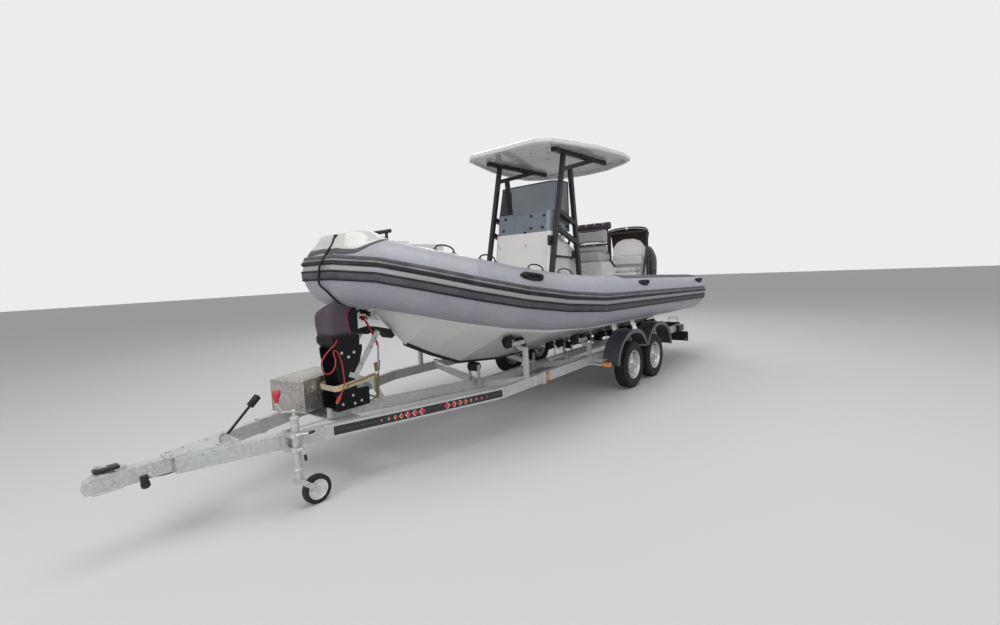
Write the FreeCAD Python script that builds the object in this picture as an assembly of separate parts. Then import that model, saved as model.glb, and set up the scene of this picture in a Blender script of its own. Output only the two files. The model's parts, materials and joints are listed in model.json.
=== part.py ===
"""Rigid inflatable boat with a T-top, on its galvanised tandem trailer.

Millimetres. X runs forward to the bow, Y to port, Z up from the ground.
Places along X are written from the middle of the two wheel axles, and
the finished pieces are moved by SHIFT_X, which puts the origin on the
ground below the middle of the whole length.
"""
import FreeCAD
import Part
import math
import os

V = FreeCAD.Vector
os.makedirs("parts", exist_ok=True)

# Gaps between pieces that touch
SEAT = 0.3

# Wheels
TYRE_R = 298.0
TYRE_W = 170.0
RIM_R = 181.0
WHEEL_Y = 974.0
AXLE_GAP = 724.0
AXLE_Z = TYRE_R
SPINDLE_R = 20.0
SPINDLE_END = WHEEL_Y + 46.0

# Trailer frame
BEAM_H = 100.0
BEAM_W = 50.0
BEAM_TOP = 506.0
BEAM_Y = 800.0
BEAM_REAR = -2230.0
CROSS_REAR = -1990.0
BEND_X = 2750.0
NOSE_X = 5080.0
NOSE_Y = 42.0
KEEL_BEAM_W = 60.0
KEEL_BEAM_H = 84.0
KEEL_BEAM_FRONT = 4000.0
KEEL_BEAM_TOP = 366.0
KEEL_BEAM_RISE = 1950.0
CROSS_T = 60.0
CROSS_X = (2130.0, 1000.0, -960.0, CROSS_REAR)

# Coupling
COUPLING_X = 5420.0
BALL_R = 25.4
BALL_DEPTH = 38.0

# Hull
DECK_Z = 1030.0
TRANSOM_X = -2080.0
TRANSOM_TOP = 1110.0
POD_X = -2200.0
POD_Y = 310.0

# Inflatable collar
TUBE_R = 283.0
TUBE_Y = 965.0
CONE_X = -2050.0
CONE_L = 560.0
CONE_R = 150.0
BOW_SEAM = 307.0

# T-top
LEG = 50.0
LEG_Y = 490.0
ROOF_Z = 2955.0
ROOF_LIP = 65.0
ROOF_CROWN = 30.0
CEILING_RISE = 10.0
CEILING_SLOPE = 0.025

# Console
CONSOLE_Y = 440.0
CONSOLE_TOP = 2016.0
SCREEN_TOP = ROOF_Z - 335.0
# The glass starts above a band that takes this share of the screen's height
BAND_SHARE = 246.0 / 604.0
SCREEN_MID = CONSOLE_TOP + BAND_SHARE * (SCREEN_TOP - CONSOLE_TOP)

# Total length, from the coupling's nose to the engine's tail
NOSE_TIP = 5505.0
TAIL_TIP = -2880.0
SHIFT_X = -(NOSE_TIP + TAIL_TIP) / 2.0

SOLIDS = {}


def save(name, shape):
    """Keep a finished piece under its node name."""
    SOLIDS[name] = shape


def box(x0, x1, y0, y1, z0, z1):
    return Part.makeBox(x1 - x0, y1 - y0, z1 - z0, V(x0, y0, z0))


def fuse(shapes):
    first = shapes[0]
    joined = first.multiFuse(shapes[1:]) if len(shapes) > 1 else first
    return joined.removeSplitter()


def mirrored(shape):
    return shape.mirror(V(0, 0, 0), V(0, 1, 0))


def both_sides(shape):
    return Part.makeCompound([shape, mirrored(shape)])


def rod(a, b, r):
    a, b = V(*a), V(*b)
    return Part.makeCylinder(r, (b - a).Length, a, b - a)


def face_of(points):
    return Part.Face(Part.makePolygon(points + [points[0]]))


def prism_xz(points, y0, y1):
    face = face_of([V(x, y0, z) for x, z in points])
    return face.extrude(V(0, y1 - y0, 0))


def prism_yz(points, x0, x1):
    face = face_of([V(x0, y, z) for y, z in points])
    return face.extrude(V(x1 - x0, 0, 0))


def prism_xy(points, z0, z1):
    face = face_of([V(x, y, z0) for x, y in points])
    return face.extrude(V(0, 0, z1 - z0))


def bar(a, b, wide, high):
    """Rectangular bar from a to b, its high side kept upright."""
    a, b = V(*a), V(*b)
    along = (b - a).normalize()
    side = along.cross(V(0, 0, 1))
    if side.Length < 0.01:
        side = V(0, 1, 0)
    side.normalize()
    up = side.cross(along).normalize()
    half_s, half_u = side * (wide / 2.0), up * (high / 2.0)
    corners = [a - half_s - half_u, a + half_s - half_u, a + half_s + half_u, a - half_s + half_u]
    return face_of(corners).extrude(b - a)


def pipe(points, profile_face):
    """Sweep a face along straight runs with mitred corners."""
    path = Part.makePolygon([V(*p) for p in points])
    return path.makePipeShell([profile_face], True, False, 1)


def circle_wire(centre, normal, r):
    return Part.Wire(Part.Circle(V(*centre), V(*normal), r).toShape())


def loft(wires, ruled=True):
    return Part.makeLoft(wires, True, ruled)


def turned_y(profile, x, y, z):
    """Revolve a profile of (radius, y) points about a wheel's axis."""
    pts = [V(x + r, y + dy, z) for r, dy in profile]
    return face_of(pts).revolve(V(x, y, z), V(0, 1, 0), 360)


# Collar's centre line on the port side: X, Y, Z
COLLAR = (
    (CONE_X, TUBE_Y, 1085.0),
    (1500.0, TUBE_Y, 1190.0),
    (2150.0, 932.0, 1250.0),
    (2650.0, 838.0, 1325.0),
    (3050.0, 690.0, 1415.0),
    (3350.0, 480.0, 1505.0),
    (3590.0, 270.0, 1578.0),
    (3727.0, 105.0, 1600.0),
)


def collar_path():
    port = list(COLLAR)
    starboard = [(x, -y, z) for x, y, z in reversed(port)]
    return port + starboard


def make_collar(radius):
    path = collar_path()
    a, b = V(*path[0]), V(*path[1])
    ring = circle_wire(path[0], b - a, radius)
    return pipe(path, ring)


def make_cone(extra):
    """Tail cone of the port tube, grown by a clearance."""
    foot, ahead = V(*COLLAR[0]), V(*COLLAR[1])
    return Part.makeCone(TUBE_R + extra, CONE_R + extra, CONE_L + extra, foot, foot - ahead)


def make_tubes():
    whole = make_collar(TUBE_R)
    ahead = box(COLLAR[-1][0] - BOW_SEAM, 5000, -1500, 1500, 0, 3000)
    save("tube_bow", whole.common(ahead))
    rest = whole.cut(ahead)
    port_half = box(-6000, 6000, 0, 2000, 0, 3000)
    port = rest.common(port_half)
    port = fuse([port, make_cone(0.0)])
    save("tube_port", port)
    save("tube_starboard", mirrored(port))
    return whole


# Rubbing strakes: name, lower angle, upper angle, thickness
STRAKES = (
    ("strake_upper", 3.0, 19.0, 20.0),
    ("strake_lower", -21.0, -5.0, 16.0),
)


def strake_profile(low, high, thick):
    """Band outside the tube at the start of the collar's path."""
    cx, cy, cz = COLLAR[0]

    def arc(r, first, last):
        points = []
        for a in (first, (first + last) / 2.0, last):
            t = math.radians(a)
            points.append(V(cx, cy + r * math.cos(t), cz + r * math.sin(t)))
        return points

    inner = arc(TUBE_R + SEAT, low, high)
    outer = arc(TUBE_R + thick, high - 1.0, low + 1.0)
    return Part.Wire([
        Part.Arc(*inner).toShape(),
        Part.LineSegment(inner[-1], outer[0]).toShape(),
        Part.Arc(*outer).toShape(),
        Part.LineSegment(outer[-1], inner[0]).toShape(),
    ])


def make_strakes():
    bands = [pipe(collar_path(), strake_profile(*band[1:])) for band in STRAKES]
    save("rub_strakes", Part.makeCompound(bands))


# Hull stations: X, keel Z, chine Y, chine Z, rail Y, deck Z
HULL = (
    (TRANSOM_X, 460.0, 850.0, 765.0, 850.0, DECK_Z),
    (900.0, 537.0, 850.0, 838.0, 855.0, DECK_Z),
    (1900.0, 560.0, 800.0, 900.0, 830.0, 1050.0),
    (2500.0, 625.0, 690.0, 985.0, 730.0, 1120.0),
    (2880.0, 775.0, 560.0, 1075.0, 610.0, 1200.0),
    (3180.0, 915.0, 400.0, 1170.0, 460.0, 1290.0),
    (3400.0, 1142.0, 225.0, 1262.0, 290.0, 1370.0),
    (3560.0, 1330.0, 50.0, 1345.0, 90.0, 1420.0),
)


# Bow eye: X, Z of the hole, and its radius
EYE = (3540.0, 1250.0)
EYE_R = 14.0


def make_hull(collar_clear):
    wires = []
    for x, zk, yc, zc, ys, zd in HULL:
        ring = [(0, zk), (yc, zc), (ys, zd), (-ys, zd), (-yc, zc)]
        pts = [V(x, y, z) for y, z in ring]
        wires.append(Part.makePolygon(pts + [pts[0]]))
    body = loft(wires)
    pod = prism_xz([(POD_X, 640), (POD_X, TRANSOM_TOP), (-2010, TRANSOM_TOP), (-2010, 560)], -POD_Y, POD_Y)
    body = fuse([body, pod]).cut(collar_clear)
    eye = prism_xz([(3460, 1208), (3460, 1290), (3582, 1290), (3582, 1243), (3560, 1208)], -6, 6)
    eye = eye.cut(rod((EYE[0], -20, EYE[1]), (EYE[0], 20, EYE[1]), EYE_R))
    body = fuse([body, eye])
    save("hull", body)
    return body


# Keel guard's depth, and its line as X, Z
GUARD_T = 12.0
GUARD = ((1390.0, 549.0), (1900.0, 560.0), (2500.0, 625.0), (2880.0, 775.0), (3180.0, 915.0))


def make_keel_guard(hull):
    rings = []
    for x, z in GUARD:
        ring = [(-34, z + 30), (-34, z - 2), (-8, z - GUARD_T), (8, z - GUARD_T), (34, z - 2), (34, z + 30)]
        pts = [V(x, y, h) for y, h in ring]
        rings.append(Part.makePolygon(pts + [pts[0]]))
    save("keel_guard", loft(rings).cut(hull))


# Moulded step over the bow, from its nose round the top to its heel, as X, Z
BOW_STEP = (
    (3893.0, 1785.0), (3908.0, 1840.0), (3872.0, 1896.0), (3790.0, 1925.0), (3670.0, 1936.0),
    (3550.0, 1915.0), (3470.0, 1880.0), (3500.0, 1850.0), (3560.0, 1700.0), (3850.0, 1700.0),
)
BOW_STEP_W = 150.0
LOCKER_TOP = 1835.0


def make_bow_fittings(collar_clear):
    plan = [(2900, -290), (3300, -210), (3500, -90), (3500, 90), (3300, 210), (2900, 290)]
    locker = prism_xy(plan, 1250, LOCKER_TOP)
    locker = locker.cut(collar_clear).cut(SOLIDS["hull"])
    locker = max(locker.Solids, key=lambda piece: piece.Volume)
    deck = prism_xy([(3230, -200), (3500, -150), (3500, 150), (3230, 200)], LOCKER_TOP, LOCKER_TOP + 27)
    rings = []
    for y, inset in ((-BOW_STEP_W, 0.96), (6 - BOW_STEP_W, 0.985), (18 - BOW_STEP_W, 1.0),
                     (BOW_STEP_W - 18, 1.0), (BOW_STEP_W - 6, 0.985), (BOW_STEP_W, 0.96)):
        ring = [V(3700 + (x - 3700) * inset, y, 1760 + (z - 1760) * inset) for x, z in BOW_STEP]
        rings.append(Part.makePolygon(ring + [ring[0]]))
    step = loft(rings).cut(collar_clear)
    step = max(step.Solids, key=lambda piece: piece.Volume)
    save("bow_locker", fuse([locker, deck.cut(collar_clear), step]))
    top = LOCKER_TOP + 27
    post = rod((3355, -55, top), (3355, -55, top + 95), 14)
    horn = rod((3355, -110, top + 95), (3355, 110, top + 95), 17)
    foot = box(3300, 3410, -80, 80, top, top + 12)
    save("bow_cleat", fuse([foot, post, mirrored(post), horn]))


# Grab handles on the tube's shoulder: X of the middle
HANDLES = (2580.0, 350.0, -1980.0)
HANDLE_ANGLE = 40.0
# Lifeline arcs on the tube's top: X of the middle, half the span
LINES = ((3240.0, 66.0), (2930.0, 84.0), (2380.0, 122.0), (1900.0, 128.0))
LINE_ANGLE = 75.0
LINE_R = 7.0


def collar_at(x):
    """Centre of the port tube at a place along X, and the way it runs."""
    for a, b in zip(COLLAR, COLLAR[1:]):
        if a[0] <= x <= b[0]:
            t = (x - a[0]) / (b[0] - a[0])
            return V(*a) + (V(*b) - V(*a)) * t, (V(*b) - V(*a)).normalize()
    return V(*COLLAR[0]), (V(*COLLAR[1]) - V(*COLLAR[0])).normalize()


def on_collar(x, angle, out):
    """Point over the port tube: place along X, angle above level, height off the fabric."""
    centre, along = collar_at(x)
    side = V(-along.y, along.x, 0).normalize()
    up = along.cross(side).normalize()
    t = math.radians(angle)
    return centre + (side * math.cos(t) + up * math.sin(t)) * (TUBE_R + out)


def make_tube_fittings(collar):
    out = []
    for x in HANDLES:
        foot, along = on_collar(x, HANDLE_ANGLE, 0.0), collar_at(x)[1]
        away = (foot - collar_at(x)[0]).normalize()
        patch = Part.makeBox(240, 84, 30, V(-120, -42, -20))
        finger_room = Part.makeBox(150, 100, 50, V(-75, -50, 10))
        feet = Part.makeBox(220, 34, 54, V(-110, -17, 0)).cut(finger_room)
        grip = Part.makeCylinder(13, 220, V(-110, 0, 46), V(1, 0, 0))
        handle = fuse([patch, feet, grip])
        turn = FreeCAD.Rotation(along, away.cross(along), away, "XZY")
        handle.Placement = FreeCAD.Placement(foot, turn)
        out.append(both_sides(handle.cut(collar)))
    arcs = []
    for x, half in LINES:
        pts = [on_collar(x + half * dx, LINE_ANGLE, up) for dx, up in
               ((-1.0, -6.0), (-0.8, 30.0), (-0.3, 58.0), (0.3, 58.0), (0.8, 30.0), (1.0, -6.0))]
        path = [(p.x, p.y, p.z) for p in pts]
        arc = pipe(path, circle_wire(path[0], pts[1] - pts[0], LINE_R))
        arcs.append(both_sides(arc.cut(collar)))
    save("tube_handles", Part.makeCompound([piece for c in out + arcs for piece in c.Solids]))


def make_step_pads():
    """Non-skid pads bonded over the top of the side tubes."""
    pads = []
    for x0, x1 in ((-620.0, 800.0), (-2050.0, -680.0)):
        a, b = collar_at(x0)[0], collar_at(x1)[0]
        outer = rod(a, b, TUBE_R + 5)
        inner = rod(a, b, TUBE_R + 0.2)
        inboard, outboard = TUBE_Y - 190, TUBE_Y + 140
        lid = box(x0 - 50, x1 + 50, inboard, outboard, 1290, 1600)
        pads.append(outer.cut(inner).common(lid))
    whole = Part.makeCompound([s for p in pads for s in both_sides(p).Solids])
    save("step_pads", whole)


def make_console():
    side = [
        (1385, DECK_Z), (1245, CONSOLE_TOP), (1130, CONSOLE_TOP), (1070, 1950),
        (760, 1800), (740, DECK_Z)]
    body = prism_xz(side, -CONSOLE_Y, CONSOLE_Y)
    front = [e for e in body.Edges if e.BoundBox.XMin > 1200 and e.BoundBox.ZLength > 500]
    body = body.makeFillet(70, front)
    save("console", body.cut(SOLIDS["hull"]))
    save_screen("windscreen_band", CONSOLE_TOP + SEAT, SCREEN_MID, 1245.0, 1211.0, 8.0, 860.0)
    save_screen("windscreen", SCREEN_MID, SCREEN_TOP, 1211.0, 1120.0, 6.0, 860.0)
    make_steering()


def u_wire(z, front, y, back, corner):
    """U in plan, open to the rear, as a closed thin outline."""
    def rail(f, w, r):
        s = r * (1 - math.sqrt(0.5))
        return [
            Part.LineSegment(V(back, w, z), V(f - r, w, z)).toShape(),
            Part.Arc(V(f - r, w, z), V(f - s, w - s, z), V(f, w - r, z)).toShape(),
            Part.LineSegment(V(f, w - r, z), V(f, -w + r, z)).toShape(),
            Part.Arc(V(f, -w + r, z), V(f - s, -w + s, z), V(f - r, -w, z)).toShape(),
            Part.LineSegment(V(f - r, -w, z), V(back, -w, z)).toShape(),
        ]
    return rail(front, y, corner)


def save_screen(name, z0, z1, f0, f1, thick, back):
    rings = []
    for z, f in ((z0, f0), (z1, f1)):
        outer = u_wire(z, f, CONSOLE_Y + 4, back, 120)
        inner = u_wire(z, f - thick, CONSOLE_Y + 4 - thick, back, 120 - thick)
        join_a = Part.LineSegment(V(back, -CONSOLE_Y - 4, z), V(back, -CONSOLE_Y - 4 + thick, z)).toShape()
        join_b = Part.LineSegment(V(back, CONSOLE_Y + 4 - thick, z), V(back, CONSOLE_Y + 4, z)).toShape()
        edges = outer + [join_a] + inner + [join_b]
        rings.append(Part.Wire(Part.__sortEdges__(edges)))
    save(name, loft(rings))


# Steering wheel
WHEEL_HUB = (590.0, 110.0, 1960.0)
WHEEL_TILT = 28.0
WHEEL_R = 165.0


def make_steering():
    hub = V(*WHEEL_HUB)
    t = math.radians(WHEEL_TILT)
    axis = V(-math.cos(t), 0, math.sin(t))
    rim = Part.makeTorus(WHEEL_R, 14, hub, axis)
    parts = [rim, Part.makeCylinder(34, 26, hub - axis * 18, axis)]
    up = V(math.sin(t), 0, math.cos(t))
    side = V(0, 1, 0)
    for a in (90, 210, 330):
        r = math.radians(a)
        d = side * math.cos(r) + up * math.sin(r)
        parts.append(Part.makeCylinder(9, WHEEL_R - 20, hub + d * 16, d))
    spindle = Part.makeCylinder(10, 40, hub - axis * 44.0, axis)
    save("steering_wheel", fuse(parts).cut(Part.makeCylinder(10.05, 16, hub - axis * 19.0, axis)))
    column = fuse([Part.makeCylinder(24, 300, hub - axis * 324.0, axis), spindle])
    SOLIDS["console"] = fuse([SOLIDS["console"], column])


# T-top side frame: X of each leg's foot and head, and the top beam's ends
FRONT_LEG = (1490.0, 1015.0)
AFT_LEG = (677.0, 875.0)
BEAM_ENDS = (1250.0, -80.0)
# Brace under the roof: fall below the ceiling at its foot, and X of its head
BRACE_FALL = 235.0
BRACE_HEAD = 250.0
# Ties between the legs: height at the front leg and at the aft leg
TTOP_TIES = ((CONSOLE_TOP + 234.0, CONSOLE_TOP + 94.0), (CONSOLE_TOP + 34.0, CONSOLE_TOP - 136.0))
# Roof's plan on the port side, as X, Y
ROOF_PLAN = (
    (1590.0, 470.0), (1480.0, 620.0), (1100.0, 735.0), (800.0, 820.0), (150.0, 890.0),
    (-120.0, 845.0), (-260.0, 700.0), (-450.0, 350.0), (-500.0, 0.0),
)
ROOF_MID = 545.0
# Rings of the roof: height above its lower edge, and scale of its plan
ROOF_RINGS = ((0.0, 0.988), (12.0, 1.0), (48.0, 1.0), (ROOF_LIP, 0.972), (ROOF_LIP + ROOF_CROWN, 0.80))


def ceiling_z(x):
    """Height of the roof's underside inside its rim."""
    return ROOF_Z + CEILING_RISE + (1500.0 - x) * CEILING_SLOPE


def roof_ring(scale, z):
    port = [V(ROOF_MID + (x - ROOF_MID) * scale, y * scale, z) for x, y in ROOF_PLAN]
    starboard = [V(p.x, -p.y, z) for p in reversed(port[:-1])]
    return Part.makePolygon(port + starboard + [port[0]])


def make_roof():
    roof = loft([roof_ring(scale, ROOF_Z + rise) for rise, scale in ROOF_RINGS])
    inside = Part.Face(roof_ring(0.945, ROOF_Z - 10)).extrude(V(0, 0, 200))
    under = [(x, z) for x, z in ((-600.0, ROOF_Z - 10), (1700.0, ROOF_Z - 10))]
    under += [(x, ceiling_z(x)) for x in (1700.0, -600.0)]
    save("ttop_roof", roof.cut(inside.common(prism_xz(under, -1000, 1000))))


def make_ttop():
    beam_z = [ceiling_z(x) - LEG / 2 - SEAT for x in (FRONT_LEG[1], AFT_LEG[1], BRACE_HEAD)]
    ends_z = [ceiling_z(x) - LEG / 2 - SEAT for x in BEAM_ENDS]
    front = (V(FRONT_LEG[0], LEG_Y, DECK_Z), V(FRONT_LEG[1], LEG_Y, beam_z[0]))

    def on_leg(foot, head, z):
        return foot + (head - foot) * ((z - foot.z) / (head.z - foot.z))

    brace_foot = on_leg(front[0], front[1], ROOF_Z - BRACE_FALL + 20)
    brace_head = V(BRACE_HEAD, LEG_Y, beam_z[2])
    share = (brace_foot.x - AFT_LEG[1]) / (brace_foot.x - brace_head.x)
    aft = (V(AFT_LEG[0], LEG_Y, DECK_Z), brace_foot + (brace_head - brace_foot) * share)
    lines = [front, aft, (brace_foot, brace_head)]
    lines.append((V(BEAM_ENDS[0], LEG_Y, ends_z[0]), V(BEAM_ENDS[1], LEG_Y, ends_z[1])))
    for fore_z, aft_z in TTOP_TIES:
        lines.append((on_leg(front[0], front[1], fore_z), on_leg(aft[0], aft[1], aft_z)))
    side = fuse([bar(a, b, LEG, LEG) for a, b in lines])
    save("ttop_frame", both_sides(side.cut(SOLIDS["console"]).cut(SOLIDS["hull"]).common(above_deck())))
    make_roof()


def above_deck():
    return box(-3000, 4000, -2000, 2000, DECK_Z, 4000)


def make_helm_seat():
    base = prism_xz([(-260, DECK_Z), (-300, 1640), (-760, 1640), (-800, DECK_Z)], -290, 290)
    save("helm_seat_base", base)
    frame = [
        bar((-690, 250, 1640), (-590, 250, 2130), 30, 30),
        bar((-590, -265, 2115), (-590, 265, 2115), 30, 30)]
    frame.append(bar((-690, -250, 1640), (-590, -250, 2130), 30, 30))
    cover = Part.makeCylinder(52, 600, V(-590, -300, 2130 + 48), V(0, 1, 0))
    save("helm_seat_frame", fuse(frame + [cover]).cut(SOLIDS["helm_seat_base"]))
    seat = box(-720, -290, -285, 285, 1640 + SEAT, 1780)
    seat = seat.cut(SOLIDS["helm_seat_frame"])
    back = box(-590, -480, -285, 285, 1900, 2125)
    back = back.cut(SOLIDS["helm_seat_frame"])
    save("helm_cushions", Part.makeCompound([seat, back]))


def make_aft_seat():
    base = box(-1960, -1560, -300, 300, DECK_Z, 1450)
    outline = [
        (-300, 1450), (-300, 1880), (-210, 1990), (-90, 2035),
        (90, 2035), (210, 1990), (300, 1880), (300, 1450)]
    shell = prism_yz(outline, -1990, -1960)
    shell = fuse([base, shell, box(-1990, -1960, -300, 300, DECK_Z, 1450)])
    save("aft_seat", shell)
    pad = box(-1960 + SEAT, -1880, -300, 300, 1554, 1755)
    seat = box(-1870, -1550, -295, 295, 1450 + SEAT, 1530)
    save("aft_cushions", Part.makeCompound([pad, seat]))


def make_arch():
    w = 360.0
    top = 2150.0
    x = -1900.0
    bars = []
    for y in (w, -w):
        bars.append(bar((x, y, DECK_Z), (x, y, top), 32, 32))
        bars.append(bar((x + 330, y, DECK_Z), (x, y, 1900), 30, 30))
        bars.append(bar((x, y, 1980), (x - 60, y, top - 20), 28, 28))
    bars.append(bar((x, -w - 16, top), (x, w + 16, top), 32, 32))
    save("stern_arch", fuse(bars).cut(SOLIDS["aft_seat"]).common(above_deck()))


# Outboard engine
TILT_X = POD_X - 50.0
TILT_Z = 1150.0
SWIVEL_X = POD_X - 175.0
PROP_X = SWIVEL_X - 285.0
PROP_Z = 300.0
COWL_Z = 1212.0


def make_engine():
    x, z = TILT_X, TILT_Z
    s = SWIVEL_X
    plate = box(POD_X - 50, POD_X - SEAT, 90, 150, 850, 1180)
    hook = box(POD_X - 50, POD_X + 90, 90, 150, TRANSOM_TOP + SEAT, 1180)
    clamp = fuse([plate, hook, box(x - 30, x + 10, 90, 150, 1110, 1180)])
    clamp = clamp.cut(rod((x, 80, z), (x, 160, z), 14))
    save("engine_clamp", both_sides(clamp))
    pin = rod((x, -150, z), (x, 150, z), 13.95)
    head = box(s - 55, x + 24, -80, 80, 900, 1172)
    swivel = fuse([head, pin]).cut(rod((s, 0, 800), (s, 0, 1300), 26))
    save("engine_swivel", swivel)
    stem = rod((s, 0, 870), (s, 0, COWL_Z), 25.95)
    leg = prism_xz([(s + 20, 880), (s + 50, 430), (s + 5, 420), (s - 225, 420), (s - 185, 880)], -55, 55)
    yoke = box(s - 200, s + 40, -60, 60, 850, 893)
    back = box(s - 190, s - 118, -60, 60, 890, COWL_Z)
    plan = [(s + 85, -60), (s + 85, 60), (s - 285, 110), (s - 305, 60), (s - 305, -60), (s - 285, -110)]
    plate = prism_xy(plan, 462, 474)
    gear = rod((s + 35, 0, PROP_Z), (s - 225, 0, PROP_Z), 52)
    nose = Part.makeCone(52, 8, 110, V(s + 35, 0, PROP_Z), V(1, 0, 0))
    strut = prism_xz([(s + 40, 440), (s + 25, 330), (s - 185, 330), (s - 215, 440)], -30, 30)
    skeg = prism_xz([(s + 5, 300), (s - 75, 140), (s - 155, 140), (s - 185, 300)], -7, 7)
    shaft = rod((s - 225, 0, PROP_Z), (PROP_X - 65, 0, PROP_Z), 14)
    save("engine_leg", fuse([stem, leg, yoke, back, plate, gear, nose, strut, skeg, shaft]))
    outline = [
        (s + 95, COWL_Z), (s + 115, 1560), (s + 55, 1850), (s - 75, 1960),
        (s - 385, 1900), (s - 505, 1640), (s - 445, COWL_Z),
    ]
    plan = [
        (s + 120, -120), (s - 30, -240), (s - 380, -240), (s - 510, -150),
        (s - 510, 150), (s - 380, 240), (s - 30, 240), (s + 120, 120),
    ]
    cowl = prism_xz(outline, -240, 240).common(prism_xy(plan, COWL_Z, 2000))
    cowl = cowl.cut(prism_yz([(240, 1700), (150, 1980), (260, 1980)], s - 600, s + 200))
    cowl = cowl.cut(prism_yz([(-240, 1700), (-150, 1980), (-260, 1980)], s - 600, s + 200))
    save("engine_cowl", cowl)
    hub = rod((PROP_X + 50, 0, PROP_Z), (PROP_X - 50, 0, PROP_Z), 40)
    hub = hub.cut(rod((PROP_X + 60, 0, PROP_Z), (PROP_X - 60, 0, PROP_Z), 14.05))
    blades = []
    for k in range(3):
        outline = [(-30, 34), (-62, 95), (-30, 148), (35, 145), (62, 95), (30, 34)]
        blade = prism_yz(outline, PROP_X - 5, PROP_X + 5)
        blade.translate(V(0, 0, PROP_Z))
        blade.rotate(V(PROP_X, 0, PROP_Z), V(0, 0, 1), 28)
        blade.rotate(V(PROP_X, 0, PROP_Z), V(1, 0, 0), 120 * k)
        blades.append(blade)
    save("propeller", fuse([hub] + blades))


def make_frame():
    o, i = BEAM_Y, BEAM_Y - BEAM_W
    slope = math.hypot(NOSE_X - BEND_X, BEAM_Y - NOSE_Y)
    w = BEAM_W * slope / (NOSE_X - BEND_X)
    plan = [(BEAM_REAR, i), (BEAM_REAR, o), (BEND_X, o), (NOSE_X, NOSE_Y + w), (NOSE_X, NOSE_Y), (BEND_X, i)]
    side = prism_xy(plan, BEAM_TOP - BEAM_H, BEAM_TOP)
    save("side_beam_port", side)
    save("side_beam_starboard", mirrored(side))
    keel = [
        (CROSS_REAR, KEEL_BEAM_TOP - KEEL_BEAM_H), (CROSS_REAR, KEEL_BEAM_TOP),
        (KEEL_BEAM_RISE, KEEL_BEAM_TOP), (KEEL_BEAM_FRONT, 520),
        (KEEL_BEAM_FRONT, 436), (KEEL_BEAM_RISE, KEEL_BEAM_TOP - KEEL_BEAM_H),
    ]
    keel = prism_xz(keel, -KEEL_BEAM_W / 2, KEEL_BEAM_W / 2)
    members = []
    for x in CROSS_X:
        pts = [
            (-i, BEAM_TOP - 10), (-i, BEAM_TOP - 70), (-120, 300), (120, 300),
            (i, BEAM_TOP - 70), (i, BEAM_TOP - 10), (120, 366), (-120, 366)]
        members.append(prism_yz(pts, x - CROSS_T / 2, x + CROSS_T / 2))
    gusset = prism_xy([(3800, -446), (3800, 446), (4000, 381), (4000, -381)], 416, 428)
    members.append(gusset.cut(side).cut(mirrored(side)))
    save("keel_beam", fuse([keel] + members))


# Brake lever's pivot: X, Z
LEVER = (4785.0, 540.0)


def make_coupling():
    body = box(4960, 5330, -40, 40, 412, BEAM_TOP)
    arms = SOLIDS["side_beam_port"].fuse(SOLIDS["side_beam_starboard"])
    plate = prism_xy([(4720, -150), (4720, 150), (5120, 60), (5120, -60)], BEAM_TOP, BEAM_TOP + 8)
    outline = [(5300, 420), (5300, 500), (5430, 520), (5490, 490), (NOSE_TIP, 440), (5500, 420)]
    head = prism_xz(outline, -42, 42)
    socket = Part.makeCylinder(BALL_R, BALL_DEPTH, V(COUPLING_X, 0, 420), V(0, 0, 1))
    grip = bar((5310, 0, 505), (5440, 0, 560), 26, 16)
    outline = [
        (4755, BEAM_TOP), (4755, 550), (4775, 562),
        (4795, 562), (4815, 550), (4815, BEAM_TOP)]
    ear = prism_xz(outline, 36, 42)
    other = ear.copy()
    other.translate(V(0, 32, 0))
    pivot = rod((LEVER[0], 36, LEVER[1]), (LEVER[0], 74, LEVER[1]), 8)
    whole = fuse([body, head]).cut(socket).cut(arms)
    save("coupling", fuse([whole, plate, grip, ear, other, pivot]))
    x, z = LEVER
    eye = rod((x, 46, z), (x, 64, z), 20)
    stick = bar((x, 55, z), (4600, 55, 720), 22, 10)
    knob = Part.makeCylinder(24, 80, V(4612, 55, 708), V(-0.72, 0, 0.69))
    save("brake_lever", fuse([eye, stick, knob]).cut(rod((x, 40, z), (x, 70, z), 8.05)))


# Tyre section round the rim: radius, distance from the tyre's middle
TYRE_HALF = TYRE_W / 2.0
TYRE_SECTION = (
    (RIM_R - 6.0, -TYRE_HALF + 18.0), (RIM_R + 30.0, -TYRE_HALF + 4.0), (TYRE_R - 40.0, -TYRE_HALF),
    (TYRE_R - 6.0, -TYRE_HALF + 22.0), (TYRE_R, -TYRE_HALF + 40.0), (TYRE_R, TYRE_HALF - 40.0),
    (TYRE_R - 6.0, TYRE_HALF - 22.0), (TYRE_R - 40.0, TYRE_HALF), (RIM_R + 30.0, TYRE_HALF - 4.0),
    (RIM_R - 6.0, TYRE_HALF - 18.0),
)
TYRE_FLATS = 48
LIGHTENING_HOLES = 12


def flat_ring(x, y, z, r):
    """Many-sided ring about a wheel's axis, its flats at radius r and one of them lowest."""
    corner = r / math.cos(math.pi / TYRE_FLATS)
    points = []
    for k in range(TYRE_FLATS):
        a = 2.0 * math.pi * (k + 0.5) / TYRE_FLATS - math.pi / 2.0
        points.append(V(x + corner * math.cos(a), y, z + corner * math.sin(a)))
    return Part.makePolygon(points + [points[0]])


def make_tyre(x):
    outer = loft([flat_ring(x, WHEEL_Y + dy, AXLE_Z, r) for r, dy in TYRE_SECTION])
    bore = Part.Face(flat_ring(x, WHEEL_Y - TYRE_W, AXLE_Z, RIM_R - 6.0)).extrude(V(0, 2 * TYRE_W, 0))
    return outer.cut(bore)


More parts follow.
